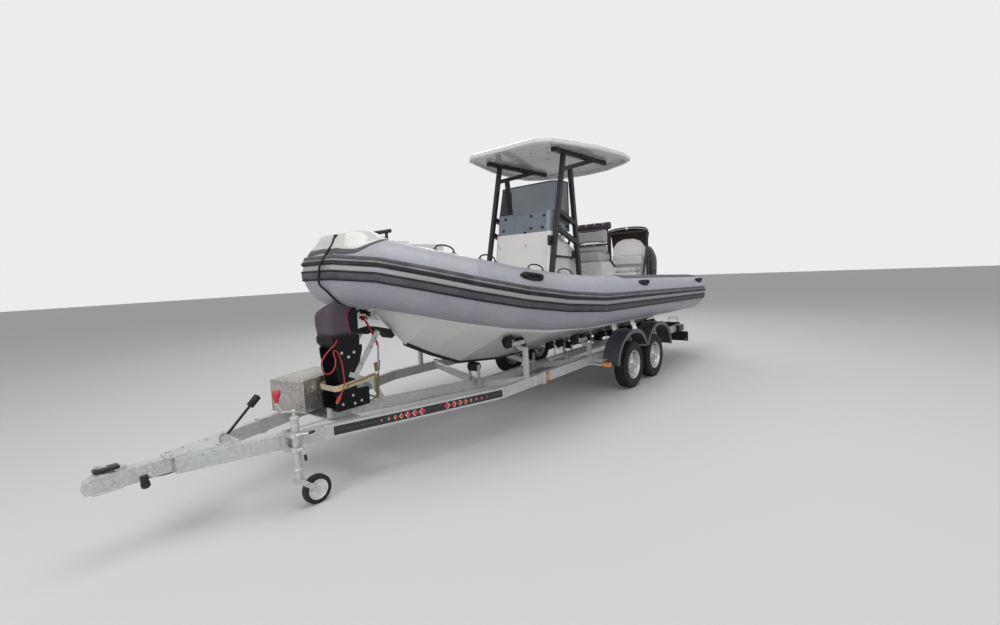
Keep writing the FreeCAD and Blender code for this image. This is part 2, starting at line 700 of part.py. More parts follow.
def make_rim(x):
    half = TYRE_HALF
    rim = turned_y([
        (RIM_R - 6.3, half - 18), (RIM_R - 14, half - 24), (RIM_R - 26, half - 60), (120, half - 48),
        (70, half - 40), (50, half - 18), (0, half - 18), (0, half - 60), (60, half - 64),
        (115, half - 62), (115, -half + 20), (135, -half + 20), (135, half - 72), (RIM_R - 36, half - 76),
        (RIM_R - 26, -half + 30), (RIM_R - 14, -half + 18), (RIM_R - 6.3, -half + 18)],
        x, WHEEL_Y, AXLE_Z)
    holes = []
    for k in range(LIGHTENING_HOLES):
        a = math.radians(360.0 / LIGHTENING_HOLES * k)
        c = V(x + 100 * math.cos(a), WHEEL_Y, AXLE_Z + 100 * math.sin(a))
        holes.append(Part.makeCylinder(13, 60, c + V(0, half - 70, 0), V(0, 1, 0)))
    bore = rod((x, WHEEL_Y - 60, AXLE_Z), (x, SPINDLE_END + 2, AXLE_Z), SPINDLE_R + 0.05)
    return rim.cut(Part.makeCompound(holes + [bore]))


def make_wheels():
    for fore, x in (("front", AXLE_GAP / 2), ("rear", -AXLE_GAP / 2)):
        tyre, rim = make_tyre(x), make_rim(x)
        save("tyre_%s_port" % fore, tyre)
        save("rim_%s_port" % fore, rim)
        save("tyre_%s_starboard" % fore, mirrored(tyre))
        save("rim_%s_starboard" % fore, mirrored(rim))


def make_suspension():
    units = []
    for x in (AXLE_GAP / 2, -AXLE_GAP / 2):
        tube = box(x + 110, x + 180, 560, 800, 336, BEAM_TOP - BEAM_H)
        outline = [
            (x + 175, 345), (x + 175, 400), (x + 30, 330),
            (x - 35, 320), (x - 35, 276), (x + 30, 272)]
        arm = prism_xz(outline, 806, 838)
        link = rod((x + 145, 790, 371), (x + 145, 815, 371), 30)
        stub = rod((x, 830, AXLE_Z), (x, SPINDLE_END, AXLE_Z), SPINDLE_R)
        unit = fuse([tube, link, arm, stub])
        units.append(both_sides(unit))
    save("axle_arms", Part.makeCompound([s for u in units for s in u.Solids]))


# Outline of one fender from its outer foot to the V between the pair, as X, Z
FENDER = (
    (920.0, 386.0), (845.0, 590.0), (640.0, 728.0), (455.0, 760.0),
    (270.0, 738.0), (110.0, 655.0), (0.0, 510.0),
)
FENDER_T = 8.0
FENDER_LIP = 46.0


def fender_line(inset):
    """Fender outline moved toward the wheel's centre."""
    centre = V(AXLE_GAP / 2, 0, AXLE_Z)
    points = []
    for x, z in FENDER:
        out = V(x, 0, z) - centre
        points.append(centre + out * ((out.Length - inset) / out.Length))
    return points


def fender_shell(inset, y0, y1):
    a, b = fender_line(0.0), fender_line(inset)
    edges = []
    for line in (a, b):
        for k in (0, 2, 4):
            edges.append(Part.Arc(line[k], line[k + 1], line[k + 2]).toShape())
    edges.append(Part.LineSegment(a[0], b[0]).toShape())
    edges.append(Part.LineSegment(a[-1], b[-1]).toShape())
    face = Part.Face(Part.Wire(Part.__sortEdges__(edges)))
    face.translate(V(0, y0, 0))
    return face.extrude(V(0, y1 - y0, 0))


def make_fenders():
    y0, y1 = WHEEL_Y - TYRE_W / 2 - 8, WHEEL_Y + TYRE_W / 2 + 28
    one = fuse([fender_shell(FENDER_T, y0, y1), fender_shell(FENDER_LIP, y1 - 6, y1)])
    ahead = one.common(box(0, 2000, 0, 2000, 0, 2000))
    aft = ahead.mirror(V(0, 0, 0), V(1, 0, 0))
    save("fenders", both_sides(fuse([ahead, aft])))
    stays = [box(-25, 25, BEAM_Y, y1 - 20, 488, 506)]
    for x in (900.0, -900.0):
        stays.append(box(x - 12, x + 12, BEAM_Y, y0 + 60, 410, 450))
    return [stay.cut(SOLIDS["fenders"]) for stay in stays]


def hull_bottom(x, y):
    """Height of the hull's bottom at a place."""
    for a, b in zip(HULL, HULL[1:]):
        if a[0] <= x <= b[0]:
            t = (x - a[0]) / (b[0] - a[0])
            zk = a[1] + (b[1] - a[1]) * t
            yc = a[2] + (b[2] - a[2]) * t
            zc = a[3] + (b[3] - a[3]) * t
            return zk + (zc - zk) * abs(y) / yc
    return HULL[0][1]


def hull_slopes(x):
    """Rise of the hull's bottom along X and out to the side."""
    along = (hull_bottom(x + 5, RAIL_Y) - hull_bottom(x - 5, RAIL_Y)) / 10.0
    across = (hull_bottom(x, RAIL_Y) - hull_bottom(x, 0)) / RAIL_Y
    return along, across


def ribbed(x, y, z, r, length, axis):
    """Roller with raised ribs at its ends and middle."""
    a = V(*axis).normalize()
    start = V(x, y, z) - a * (length / 2)
    parts = [Part.makeCylinder(r - 7, length, start, a)]
    for k in range(3):
        parts.append(Part.makeCylinder(r, length / 5, start + a * (length * 2 / 5 * k), a))
    return fuse(parts)


RAIL_Y = 380.0
ROLLER_R = 45.0
SIDE_ROLLERS = (1290.0, 1060.0, 600.0, 370.0, -90.0, -320.0, -780.0, -1010.0, -1470.0, -1700.0)
KEEL_ROLLERS = (2250.0, 1200.0, 250.0, -700.0, -1650.0)
KEEL_R = 52.0


def make_rollers():
    rollers, frames = [], []
    for x in SIDE_ROLLERS:
        fall_x, fall_y = hull_slopes(x)
        axis = (0, 1.0, fall_y)
        z = hull_bottom(x, RAIL_Y) - ROLLER_R * math.sqrt(1 + fall_x ** 2 + fall_y ** 2) - SEAT
        rollers.append(both_sides(ribbed(x, RAIL_Y, z, ROLLER_R, 90, axis)))
        post = box(x - 9, x + 9, RAIL_Y + 58, RAIL_Y + 66, 500, z + 25)
        pin = rod((x, RAIL_Y + 62, z + 23), (x, RAIL_Y - 30, z - 8), 7)
        frames.append(both_sides(fuse([post, pin]).cut(rollers[-1])))
    rail = box(-1800, 1400, RAIL_Y + 42, RAIL_Y + 82, 480, 520)
    legs = []
    for x in CROSS_X[1:3]:
        legs.append(box(x - 25, x + 25, RAIL_Y + 42, RAIL_Y + 82, 400, 490))
    rail = fuse([rail] + legs).cut(SOLIDS["keel_beam"])
    rail = fuse([rail] + [s for f in frames for s in f.Solids if s.BoundBox.YMin > 0])
    frames = list(both_sides(rail).Solids)
    keel, mounts = [], []
    for x in KEEL_ROLLERS:
        z = hull_bottom(x, 0) - KEEL_R * math.sqrt(1 + hull_slopes(x)[0] ** 2) - SEAT
        if x > GUARD[0][0]:
            z -= GUARD_T
        keel.append(ribbed(x, 0, z, KEEL_R, 110, (0, 1, 0)))
        rise = (520 - KEEL_BEAM_TOP) / (KEEL_BEAM_FRONT - KEEL_BEAM_RISE)
        beam_top = KEEL_BEAM_TOP + max(0.0, (x - KEEL_BEAM_RISE) * rise)
        for y in (62.0, -68.0):
            mounts.append(box(x - 22, x + 22, y, y + 6, beam_top - 50, z + 22))
        mounts.append(box(x - 22, x + 22, -68, 68, beam_top, beam_top + 5))
        mounts.append(rod((x, -70, z), (x, 70, z), 8))
    holder = fuse(mounts).cut(Part.makeCompound(keel)).cut(SOLIDS["keel_beam"])
    frames += holder.Solids
    posts, wheels = make_roller_posts()
    frames += posts.Solids
    save("roller_frames", Part.makeCompound(frames))
    save("rollers", Part.makeCompound([piece for c in rollers + keel + [wheels] for piece in c.Solids]))


# Corner roller posts on the port side beam: X, roller gap along X
POSTS = ((2340.0, 100.0), (1050.0, 100.0), (-1250.0, 100.0))


def make_roller_posts():
    posts, wheels = [], []
    for x, gap in POSTS:
        y = 640.0
        z = hull_bottom(x, y) - 62 - 12
        posts.append(box(x - 20, x + 20, 755, 795, BEAM_TOP, z - 40))
        posts.append(bar((x, 775, z - 60), (x, y + 20, z - 30), 36, 36))
        posts.append(bar((x - gap, y + 55, z), (x + gap, y + 55, z), 8, 40))
        posts.append(box(x - 14, x + 14, y + 30, y + 60, z - 46, z + 10))
        for dx in (-gap * 0.8, gap * 0.8):
            zz = hull_bottom(x + dx, y) - 60 - 14
            wheels.append(ribbed(x + dx, y, zz, 58, 85, (0, math.cos(0.34), math.sin(0.34))))
            posts.append(rod((x + dx, y - 20, zz - 8), (x + dx, y + 56, zz + 20), 8))
    frame = fuse(posts).cut(Part.makeCompound(wheels))
    return both_sides(frame), Part.makeCompound([piece for w in wheels for piece in both_sides(w).Solids])


# Winch post: tray and cover, as X from rear to front, half width, Z from bottom to top
TRAY = (3750.0, 3990.0, 120.0, 1010.0, 1100.0)
WINCH_PLATE = (98.0, 108.0)
STRUT_Y = 116.0
LEAD_R = 5.0
# Free lead of the winch, from the tray's side to its plug
LEAD = (
    (3946.0, 108.0, 1088.0), (3966.0, 140.0, 1070.0), (3998.0, 154.0, 1044.0), (4046.0, 158.0, 1014.0),
    (4095.0, 161.0, 972.0), (4125.0, 163.0, 923.0), (4120.0, 165.0, 868.0), (4085.0, 163.0, 830.0),
    (4036.0, 158.0, 838.0), (4000.0, 151.0, 878.0), (3990.0, 147.0, 930.0), (4003.0, 142.0, 974.0),
    (3996.0, 137.0, 1006.0), (3966.0, 133.0, 993.0), (3944.0, 133.0, 945.0), (3930.0, 134.0, 880.0),
    (3925.0, 135.0, 810.0), (3922.0, 136.0, 748.0), (3930.0, 136.0, 692.0), (3958.0, 136.0, 650.0),
)
PLUG_TIP = (4006.0, 136.0, 578.0)


def cord_tube(points, r):
    """Round cord along straight runs joined by tangent arcs."""
    pts = [V(*p) for p in points]
    edges, radii, length = [], [], 0.0
    last = pts[0]
    for a, p, b in zip(pts, pts[1:], pts[2:]):
        into, away = (p - a).normalize(), (b - p).normalize()
        turn = into.getAngle(away)
        reach = 0.45 * min((p - a).Length, (b - p).Length)
        radius = reach / math.tan(turn / 2.0)
        start, end = p - into * reach, p + away * reach
        inward = (away - into).normalize()
        middle = p + inward * (radius / math.cos(turn / 2.0) - radius)
        edges.append(Part.LineSegment(last, start).toShape())
        edges.append(Part.Arc(start, middle, end).toShape())
        length += (start - last).Length + radius * turn
        radii.append(radius)
        last = end
    edges.append(Part.LineSegment(last, pts[-1]).toShape())
    length += (pts[-1] - last).Length
    ring = circle_wire(points[0], pts[1] - pts[0], r)
    tube = Part.Wire(edges).makePipeShell([ring], True, False)
    share = tube.Volume / (math.pi * r * r * length)
    bends = " ".join("%.0f" % q for q in radii)
    print("cord length %.0f, volume share %.4f, radii %s" % (length, share, bends))
    return tube


def make_winch_post():
    near, far = WINCH_PLATE
    outline = [(3985, 500), (3985, 640), (3960, 652), (3700, 652), (3680, 640), (3680, 500)]
    lower = prism_xz(outline, near, far)
    upper = prism_xz([
        (3948, 640), (3948, 730), (3980, 970), (3980, TRAY[3]), (3720, TRAY[3]),
        (3720, 970), (3795, 730), (3795, 640)], near, far)
    plate = fuse([lower, upper])
    spots = ((3900, 600), (3760, 600), (3870, 800), (3850, 960))
    spacers = [rod((x, -near, z), (x, near, z), 12) for x, z in spots]
    post = fuse([plate, mirrored(plate)] + spacers)
    foot = box(3680, 3985, -far, far, 500, 520)
    post = fuse([post, foot]).cut(SOLIDS["keel_beam"])
    x0, x1, half, z0, z1 = TRAY
    tray = prism_xz([(x0, z0), (x0, z1), (x1, z1), (x1, z0 + 40), (x1 - 30, z0)], -half, half)
    save("winch_post", fuse([post, tray]))
    cover = prism_xz([
        (x1, z1 + SEAT), (x1 - 5, z1 + 150), (x1 - 40, z1 + 250), (x1 - 90, z1 + 270),
        (x0 + 40, z1 + 270), (x0 - 5, z1 + 200), (x0 - 5, z1 + SEAT)], -half + 5, half - 5)
    save("winch_cover", cover.cut(make_collar(TUBE_R + 1)))
    struts = []
    for y in (STRUT_Y, -STRUT_Y):
        struts.append(bar((3545, y, 490), (3690, y, 740), 10, 45))
        struts.append(bar((3800, y, 770), (3560, y, 1100), 10, 45))
        struts.append(bar((3860, y, 785), (3685, y, 697), 10, 40))
    reach = STRUT_Y + 5
    spots = ((3690, 715), (3568, 1090), (3830, 775), (3560, 515))
    tie = [rod((x, -reach, z), (x, reach, z), 10) for x, z in spots]
    save("winch_struts", fuse(struts + tie).cut(SOLIDS["winch_post"]).cut(SOLIDS["keel_beam"]))
    snub = prism_xz([
        (3640, 1080), (3640, 1120), (3540, 1135), (3390, 1095), (3345, 1030), (3380, 1010),
        (3430, 1060), (3560, 1090)], -70, 70)
    save("bow_snubber", snub.cut(SOLIDS["hull"]).cut(SOLIDS["winch_struts"]).cut(SOLIDS["keel_guard"]))
    lead = cord_tube(LEAD, LEAD_R).cut(SOLIDS["winch_post"])
    save("winch_lead", max(lead.Solids, key=lambda piece: piece.Volume))
    save("lead_plug", bar(LEAD[-1], PLUG_TIP, 20, 36))


def make_jockey():
    """Jockey stand clamped on the port arm of the drawbar."""
    x, y = 4475.0, 395.0
    tube = Part.makeCylinder(26, 380, V(x, y, 270), V(0, 0, 1))
    tube = tube.cut(Part.makeCylinder(20, 320, V(x, y, 260), V(0, 0, 1)))
    handle = [
        rod((x, y, 640), (x, y, 692), 10), rod((x, y, 684), (x + 72, y, 700), 7),
        rod((x + 70, y, 698), (x + 106, y, 764), 7), rod((x + 105, y, 755), (x + 105, y + 5, 850), 12),
    ]
    save("jockey_tube", fuse([tube] + handle))
    clamp = [
        box(x - 45, x + 45, y - 60, y + 10, 410, 430),
        box(x - 45, x + 45, y - 60, y + 10, 520, 540),
        box(x - 55, x + 55, y - 70, y - 52, 408, 560),
        box(x - 40, x + 40, 240, y - 60, 430, 500)]
    clamp = fuse(clamp).cut(SOLIDS["side_beam_port"])
    clamp = clamp.cut(Part.makeCylinder(26 + SEAT, 600, V(x, y, 200), V(0, 0, 1)))
    save("jockey_clamp", clamp)
    wheel_r = 101.5
    trail = 118.0
    stem = Part.makeCylinder(19.5, 300, V(x, y, 200), V(0, 0, 1))
    fork = [stem, box(x - 30, x + 30, y - 32, y + 32, 196, 210)]
    for s in (-1, 1):
        fork.append(bar((x, y + s * 34, 203), (x - trail, y + s * 34, wheel_r), 6, 36))
    fork.append(rod((x - trail, y - 37, wheel_r), (x - trail, y + 37, wheel_r), 8))
    save("jockey_fork", fuse(fork))
    profile = [
        (9, -26), (30, -26), (30, -12), (70, -8), (72, -25), (wheel_r - 6, -25), (wheel_r, -16),
        (wheel_r, 16), (wheel_r - 6, 25), (72, 25), (70, 8), (30, 12), (30, 26), (9, 26)]
    wheel = turned_y(profile, x - trail, y, wheel_r)
    save("jockey_wheel", wheel)


def make_toolbox():
    """Chequer-plate box along the starboard arm of the drawbar."""
    a = math.degrees(math.atan2(BEAM_Y - NOSE_Y, NOSE_X - BEND_X))
    body = box(-500, 0, -340, 0, 0, 235).cut(box(-498, -2, -338, -2, 2, 240))
    lid = box(-504, 4, -344, 4, 235, 262)
    for s in (body, lid):
        s.rotate(V(0, 0, 0), V(0, 0, 1), a)
        s.translate(V(4150, -85, BEAM_TOP))
    save("toolbox", body)
    save("toolbox_lid", lid)


def make_lamps(stays):
    """Lamps and reflectors, and the brackets bolted to the frame."""
    brackets = list(stays)
    brackets.append(fuse([box(1075, 1110, BEAM_Y, 960, 412, 430), box(1010, 1110, 930, 958, 412, 430)]))
    brackets.append(box(2045, 2110, BEAM_Y, BEAM_Y + 12, BEAM_TOP - BEAM_H - 12, BEAM_TOP + 12))
    brackets.append(box(-2305, BEAM_REAR, 700, 799, 420, 460))
    whole = Part.makeCompound([piece for part in brackets for piece in both_sides(part).Solids])
    save("frame_brackets", whole)
    outline = [
        (490, 530), (760, 530), (760, 370), (900, 370),
        (900, 205), (560, 205), (560, 370), (490, 370)]
    board = prism_yz(outline, -2330, -2305)
    save("rear_light_boards", both_sides(board))
    lamps = [
        box(1000, 1072, 958, 1035, 395, 440),
        box(1990, 2040, BEAM_Y, BEAM_Y + 9, 415, 497),
        box(-2350, -2330, 580, 700, 400, 470)]
    save("lamps", Part.makeCompound([piece for part in lamps for piece in both_sides(part).Solids]))


def export_all():
    for name, shape in SOLIDS.items():
        moved = shape.copy()
        moved.translate(V(SHIFT_X, 0, 0))
        moved.exportStep("parts/%s.step" % name)
        b = moved.BoundBox
        spans = (b.XMin, b.XMax, b.YMin, b.YMax, b.ZMin, b.ZMax)
        print("%-22s %2d solids %8.1f l" % (name, len(moved.Solids), moved.Volume / 1e6))
        print("    X %6.0f %6.0f  Y %6.0f %6.0f  Z %5.0f %5.0f" % spans)


def main():
    make_tubes()
    make_strakes()
    clear = Part.makeCompound([make_collar(TUBE_R + SEAT)] + both_sides(make_cone(SEAT)).Solids)
    hull = make_hull(clear)
    make_keel_guard(hull)
    make_bow_fittings(clear)
    make_tube_fittings(Part.makeCompound([make_collar(TUBE_R + 0.1)] + both_sides(make_cone(0.1)).Solids))
    make_step_pads()
    make_console()
    make_ttop()
    make_helm_seat()
    make_aft_seat()
    make_arch()
    make_engine()
    make_frame()
    make_coupling()
    make_wheels()
    make_suspension()
    stays = make_fenders()
    make_rollers()
    make_winch_post()
    make_jockey()
    make_toolbox()
    make_lamps(stays)
    export_all()


main()
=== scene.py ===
"""Looks of a rigid inflatable boat on its trailer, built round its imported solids."""
import json
import math
from itertools import product

import bmesh
import bpy
from mathutils import Matrix, Vector


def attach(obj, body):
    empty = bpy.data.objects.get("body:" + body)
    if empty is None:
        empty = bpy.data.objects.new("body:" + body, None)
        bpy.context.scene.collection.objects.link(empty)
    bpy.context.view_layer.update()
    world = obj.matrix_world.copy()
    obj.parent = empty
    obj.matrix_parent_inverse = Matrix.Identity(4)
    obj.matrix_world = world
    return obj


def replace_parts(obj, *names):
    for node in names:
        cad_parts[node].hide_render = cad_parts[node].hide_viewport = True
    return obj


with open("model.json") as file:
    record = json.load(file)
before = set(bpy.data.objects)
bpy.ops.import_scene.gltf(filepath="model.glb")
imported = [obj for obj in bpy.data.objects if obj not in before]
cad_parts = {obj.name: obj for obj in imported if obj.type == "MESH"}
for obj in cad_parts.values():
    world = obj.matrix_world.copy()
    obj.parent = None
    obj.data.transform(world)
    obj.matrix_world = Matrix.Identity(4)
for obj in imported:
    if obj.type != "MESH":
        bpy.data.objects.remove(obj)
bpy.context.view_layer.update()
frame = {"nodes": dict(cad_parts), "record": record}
NODES = frame["nodes"]
ROOT = "boat_on_trailer"
MM = 0.001
ALONG, ACROSS, UP = Vector((1, 0, 0)), Vector((0, 1, 0)), Vector((0, 0, 1))
HANDS = (("port", 1.0), ("starboard", -1.0))

# The solids' own X runs from the middle of the axles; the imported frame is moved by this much
SHIFT_X = -1.3125


def at(x, y, z):
    """Point in millimetres from the middle of the axles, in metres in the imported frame."""
    return Vector((x / 1000.0 + SHIFT_X, y / 1000.0, z / 1000.0))


def add(name, data):
    """Object that shows some data, put into the scene."""
    made = bpy.data.objects.new(name, data)
    bpy.context.scene.collection.objects.link(made)
    return made


def join(links, value, slot):
    """Link a socket to a shader's input, or set the input to a plain value."""
    if isinstance(value, bpy.types.NodeSocket):
        links.new(value, slot)
    else:
        slot.default_value = value


# Camera solved from the photograph, then light and floor
EYE = Vector((4.5984, 3.3929, 1.5516))
HEADING, PITCH, ROLL = math.radians(39.2255), math.radians(5.0135), math.radians(2.6494)
LENS, SENSOR = 16.49, 36.0
# What the room gives as a light, and what the camera and reflections see of it
AMBIENT, BACKDROP = ((0.97, 0.98, 1.0), 0.36), ((0.93, 0.935, 0.94), 0.9)
# Each lamp's place, the point that it faces, its power and its size
LAMPS = {
    "roof_light": ((1.0, 1.5, 9.0), (-0.5, 0.0, 1.0), 400.0, 7.0),
    "side_light": ((3.0, 8.0, 6.0), (0.0, 0.0, 1.2), 90.0, 5.0),
    "bow_light": ((9.5, 2.5, 4.0), (1.0, 0.0, 1.5), 240.0, 5.0),
    "back_light": ((-7.0, -5.0, 6.0), (-0.5, 0.0, 1.2), 200.0, 5.0)}


def aim_camera():
    ahead = Vector((-math.cos(HEADING), -math.sin(HEADING), 0.0))
    right = Vector((-math.sin(HEADING), math.cos(HEADING), 0.0))
    look = ahead * math.cos(PITCH) - UP * math.sin(PITCH)
    top = ahead * math.sin(PITCH) + UP * math.cos(PITCH)
    side = right * math.cos(ROLL) - top * math.sin(ROLL)
    crown = right * math.sin(ROLL) + top * math.cos(ROLL)
    data = bpy.data.cameras.new("camera")
    data.lens, data.sensor_width, data.clip_end = LENS, SENSOR, 200.0
    camera = add("camera", data)
    camera.matrix_world = Matrix.Translation(EYE) @ Matrix((side, crown, -look)).transposed().to_4x4()
    bpy.context.scene.camera = camera


def light_studio():
    world = bpy.data.worlds.new("studio")
    world.use_nodes = True
    bpy.context.scene.world = world
    nodes, links = world.node_tree.nodes, world.node_tree.links
    nodes.clear()
    rays = nodes.new("ShaderNodeLightPath").outputs

    def larger(a, b):
        node = nodes.new("ShaderNodeMath")
        node.operation = "MAXIMUM"
        links.new(a, node.inputs[0])
        links.new(b, node.inputs[1])
        return node.outputs[0]

    def background(colour, strength):
        node = nodes.new("ShaderNodeBackground")
        node.inputs["Color"].default_value = (*colour, 1.0)
        node.inputs["Strength"].default_value = strength
        return node.outputs[0]

    shine = larger(rays["Is Glossy Ray"], rays["Is Transmission Ray"])
    mix, out = nodes.new("ShaderNodeMixShader"), nodes.new("ShaderNodeOutputWorld")
    parts = (larger(rays["Is Camera Ray"], shine), background(*AMBIENT), background(*BACKDROP))
    for part, slot in zip(parts, mix.inputs):
        links.new(part, slot)
    links.new(mix.outputs[0], out.inputs[0])
    for name, (spot, aim, power, size) in LAMPS.items():
        lamp = bpy.data.lights.new(name, "AREA")
        lamp.energy, lamp.size = power, size
        lit = add(name, lamp)
        lit.location = spot
        lit.visible_transmission = False
        lit.rotation_euler = (Vector(aim) - Vector(spot)).to_track_quat("-Z", "Y").to_euler()


def lay_floor():
    bm = bmesh.new()
    bmesh.ops.create_grid(bm, x_segments=1, y_segments=1, size=60.0)
    mesh = bpy.data.meshes.new("floor")
    bm.to_mesh(mesh)
    bm.free()
    skin = bpy.data.materials.new("floor_pale")
    skin.use_nodes = True
    shader = skin.node_tree.nodes["Principled BSDF"]
    shader.inputs["Base Color"].default_value = (0.66, 0.66, 0.655, 1.0)
    shader.inputs["Roughness"].default_value = 0.7
    mesh.materials.append(skin)
    add("floor", mesh)


aim_camera()
light_studio()
lay_floor()
bpy.context.scene.view_settings.view_transform = "Standard"


# Materials
def rgba(colour):
    return (*(min(1.0, c) for c in colour), 1.0)


def scaled(colour, share, plus=0.0):
    return tuple(c * share + plus for c in colour)


class Finish:
    """A procedural material on Object coordinates, put together step by step."""

    def __init__(self, name, rough, metal=0.0):
        self.skin = bpy.data.materials.new(name)
        self.skin.use_nodes = True
        self.nodes, self.links = self.skin.node_tree.nodes, self.skin.node_tree.links
        self.shader = self.nodes["Principled BSDF"]
        self.spot = self.nodes.new("ShaderNodeTexCoord").outputs["Object"]
        self.relief = None
        self.look(Roughness=rough, Metallic=metal)

    def look(self, **values):
        """Set or link the shader's own inputs."""
        for key, value in values.items():
            join(self.links, value, self.shader.inputs[key.replace("_", " ")])

    def node(self, kind, inputs, **settings):
        """New node with its settings, its inputs set or linked; gives its outputs."""
        made = self.nodes.new("ShaderNode" + kind)
        for key, value in settings.items():
            setattr(made, key, value)
        for key, value in inputs.items():
            join(self.links, value, made.inputs[key])
        return made.outputs

    def place(self, scale=(1, 1, 1), turn=(0, 0, 0)):
        return self.node("Mapping", {"Scale": scale, "Rotation": turn, "Vector": self.spot})["Vector"]

    def noise(self, scale, detail=4.0, distortion=0.0):
        return self.node("TexNoise", {"Scale": scale, "Detail": detail, "Distortion": distortion,
                                      "Vector": self.spot})["Fac"]

    def cells(self, scale, spot=None, feature="F1", output="Distance"):
        return self.node("TexVoronoi", {"Scale": scale, "Vector": spot or self.spot}, feature=feature)[output]

    def waves(self, scale, axis="X", spot=None):
        return self.node("TexWave", {"Scale": scale, "Vector": spot or self.spot},
                         bands_direction=axis)["Fac"]

    def ramp(self, value, low, high, start=0.3, end=0.7):
        """Colour that goes from low to high as the value goes from start to end."""
        made = self.nodes.new("ShaderNodeValToRGB")
        for stop, where, colour in zip(made.color_ramp.elements, (start, end), (low, high)):
            stop.position, stop.color = where, rgba(colour)
        self.links.new(value, made.inputs["Fac"])
        return made.outputs["Color"]

    def spread(self, value, low, high, start=0.3, end=0.7):
        """Number that goes from low to high as the value goes from start to end."""
        return self.node("MapRange", {"From Min": start, "From Max": end, "To Min": low, "To Max": high,
                                      "Value": value})["Result"]

    def mix(self, a, b, share, kind="MIX"):
        a, b = (rgba(shade) if isinstance(shade, tuple) else shade for shade in (a, b))
        return self.node("MixRGB", {"Fac": share, "Color1": a, "Color2": b}, blend_type=kind)["Color"]

    def bump(self, height, depth, strength=1.0):
        inputs = {"Distance": depth, "Strength": strength, "Height": height}
        if self.relief is not None:
            inputs["Normal"] = self.relief
        self.relief = self.node("Bump", inputs)["Normal"]
        self.look(Normal=self.relief)


def mottled(name, colour, rough, metal=0.0, light=1.06, dark=0.9, scale=3.0, grain=90.0, depth=0.0004):
    """Colour that wanders a little, with fine grain and an uneven gloss."""
    skin = Finish(name, rough, metal)
    drift = skin.noise(scale, 6.0, 0.4)
    skin.look(Base_Color=skin.ramp(drift, scaled(colour, dark), scaled(colour, light)))
    skin.look(Roughness=skin.spread(skin.noise(scale * 4.0, 5.0), rough * 0.85, min(1.0, rough * 1.2)))
    skin.bump(skin.noise(grain, 3.0), depth, 0.6)
    return skin


def make_gelcoat(name, colour):
    skin = mottled(name, colour, 0.16, light=1.02, dark=0.965, scale=1.4, grain=22.0, depth=0.0006)
    skin.look(Coat_Weight=0.5, Coat_Roughness=0.06)
    return skin.skin


def make_tube_fabric(name):
    skin = Finish(name, 0.36)
    tone = skin.ramp(skin.noise(2.2, 6.0, 0.5), (0.285, 0.288, 0.325), (0.335, 0.338, 0.375))
    dust = skin.spread(skin.noise(14.0, 8.0), 0.0, 0.22, 0.5, 0.8)
    skin.look(Base_Color=skin.mix(tone, (0.48, 0.485, 0.50), dust),
              Roughness=skin.spread(skin.noise(7.0, 6.0), 0.30, 0.46), Coat_Weight=0.15, Coat_Roughness=0.25)
    skin.bump(skin.mix(skin.waves(260.0), skin.waves(260.0, "Z"), 0.5, "MULTIPLY"), 0.00025, 0.5)
    skin.bump(skin.noise(1.8, 3.0), 0.006, 0.25)
    return skin.skin


def make_galvanised(name):
    skin = Finish(name, 0.48, 0.55)
    crystal = skin.mix(skin.cells(60.0, output="Color"), (0.5, 0.5, 0.5), 0.55)
    grey = skin.ramp(crystal, (0.44, 0.455, 0.46), (0.62, 0.63, 0.63), 0.25, 0.75)
    stain = skin.spread(skin.noise(5.0, 8.0, 0.8), 0.0, 0.5, 0.55, 0.8)
    skin.look(Base_Color=skin.mix(grey, (0.40, 0.40, 0.385), stain),
              Roughness=skin.spread(skin.noise(30.0, 4.0), 0.38, 0.62))
    skin.bump(skin.noise(45.0, 5.0), 0.0006, 0.5)
    return skin.skin


def make_checker_plate(name):
    """Plate with small raised studs that lean to both sides by turns."""
    skin = Finish(name, 0.34, 0.75)
    left, right = (skin.cells(46.0, skin.place(scale, (0.78, 0.78, 0)))
                   for scale in ((0.4, 1.0, 1.7), (1.7, 1.0, 0.4)))
    marks = skin.ramp(skin.mix(left, right, 1.0, "DARKEN"), (1, 1, 1), (0, 0, 0), 0.16, 0.30)
    plain = skin.ramp(skin.noise(6.0, 6.0), (0.36, 0.345, 0.32), (0.48, 0.465, 0.44))
    skin.look(Base_Color=skin.mix(plain, (0.66, 0.65, 0.63), marks),
              Roughness=skin.spread(skin.noise(50.0, 4.0), 0.26, 0.46))
    skin.bump(marks, 0.0018, 0.9)
    return skin.skin


def make_cloth(name, colour, thread=520.0):
    skin = Finish(name, 0.85)
    tone = skin.ramp(skin.noise(5.0, 6.0), scaled(colour, 0.8), scaled(colour, 1.15))
    weave = skin.mix(skin.waves(thread), skin.waves(thread, "Z"), 1.0, "MULTIPLY")
    skin.look(Base_Color=skin.mix(tone, scaled(colour, 1.5, 0.01), skin.spread(weave, 0.0, 0.35, 0.0, 1.0)),
              Sheen_Weight=0.10, Sheen_Roughness=0.5, Specular_IOR_Level=0.2)
    skin.bump(weave, 0.0004, 0.6)
    return skin.skin


def make_vinyl(name, colour):
    skin = mottled(name, colour, 0.42, light=1.04, dark=0.93, scale=4.0)
    skin.bump(skin.cells(240.0, feature="SMOOTH_F1"), 0.0004, 0.6)
    return skin.skin


def make_pad_rubber(name, colour):
    skin = mottled(name, colour, 0.7, light=1.15, dark=0.8)
    left, right = (skin.waves(90.0, axis, skin.place(turn=(0, 0, 0.785))) for axis in "XY")
    skin.bump(skin.mix(left, right, 1.0, "MULTIPLY"), 0.0012, 0.8)
    return skin.skin


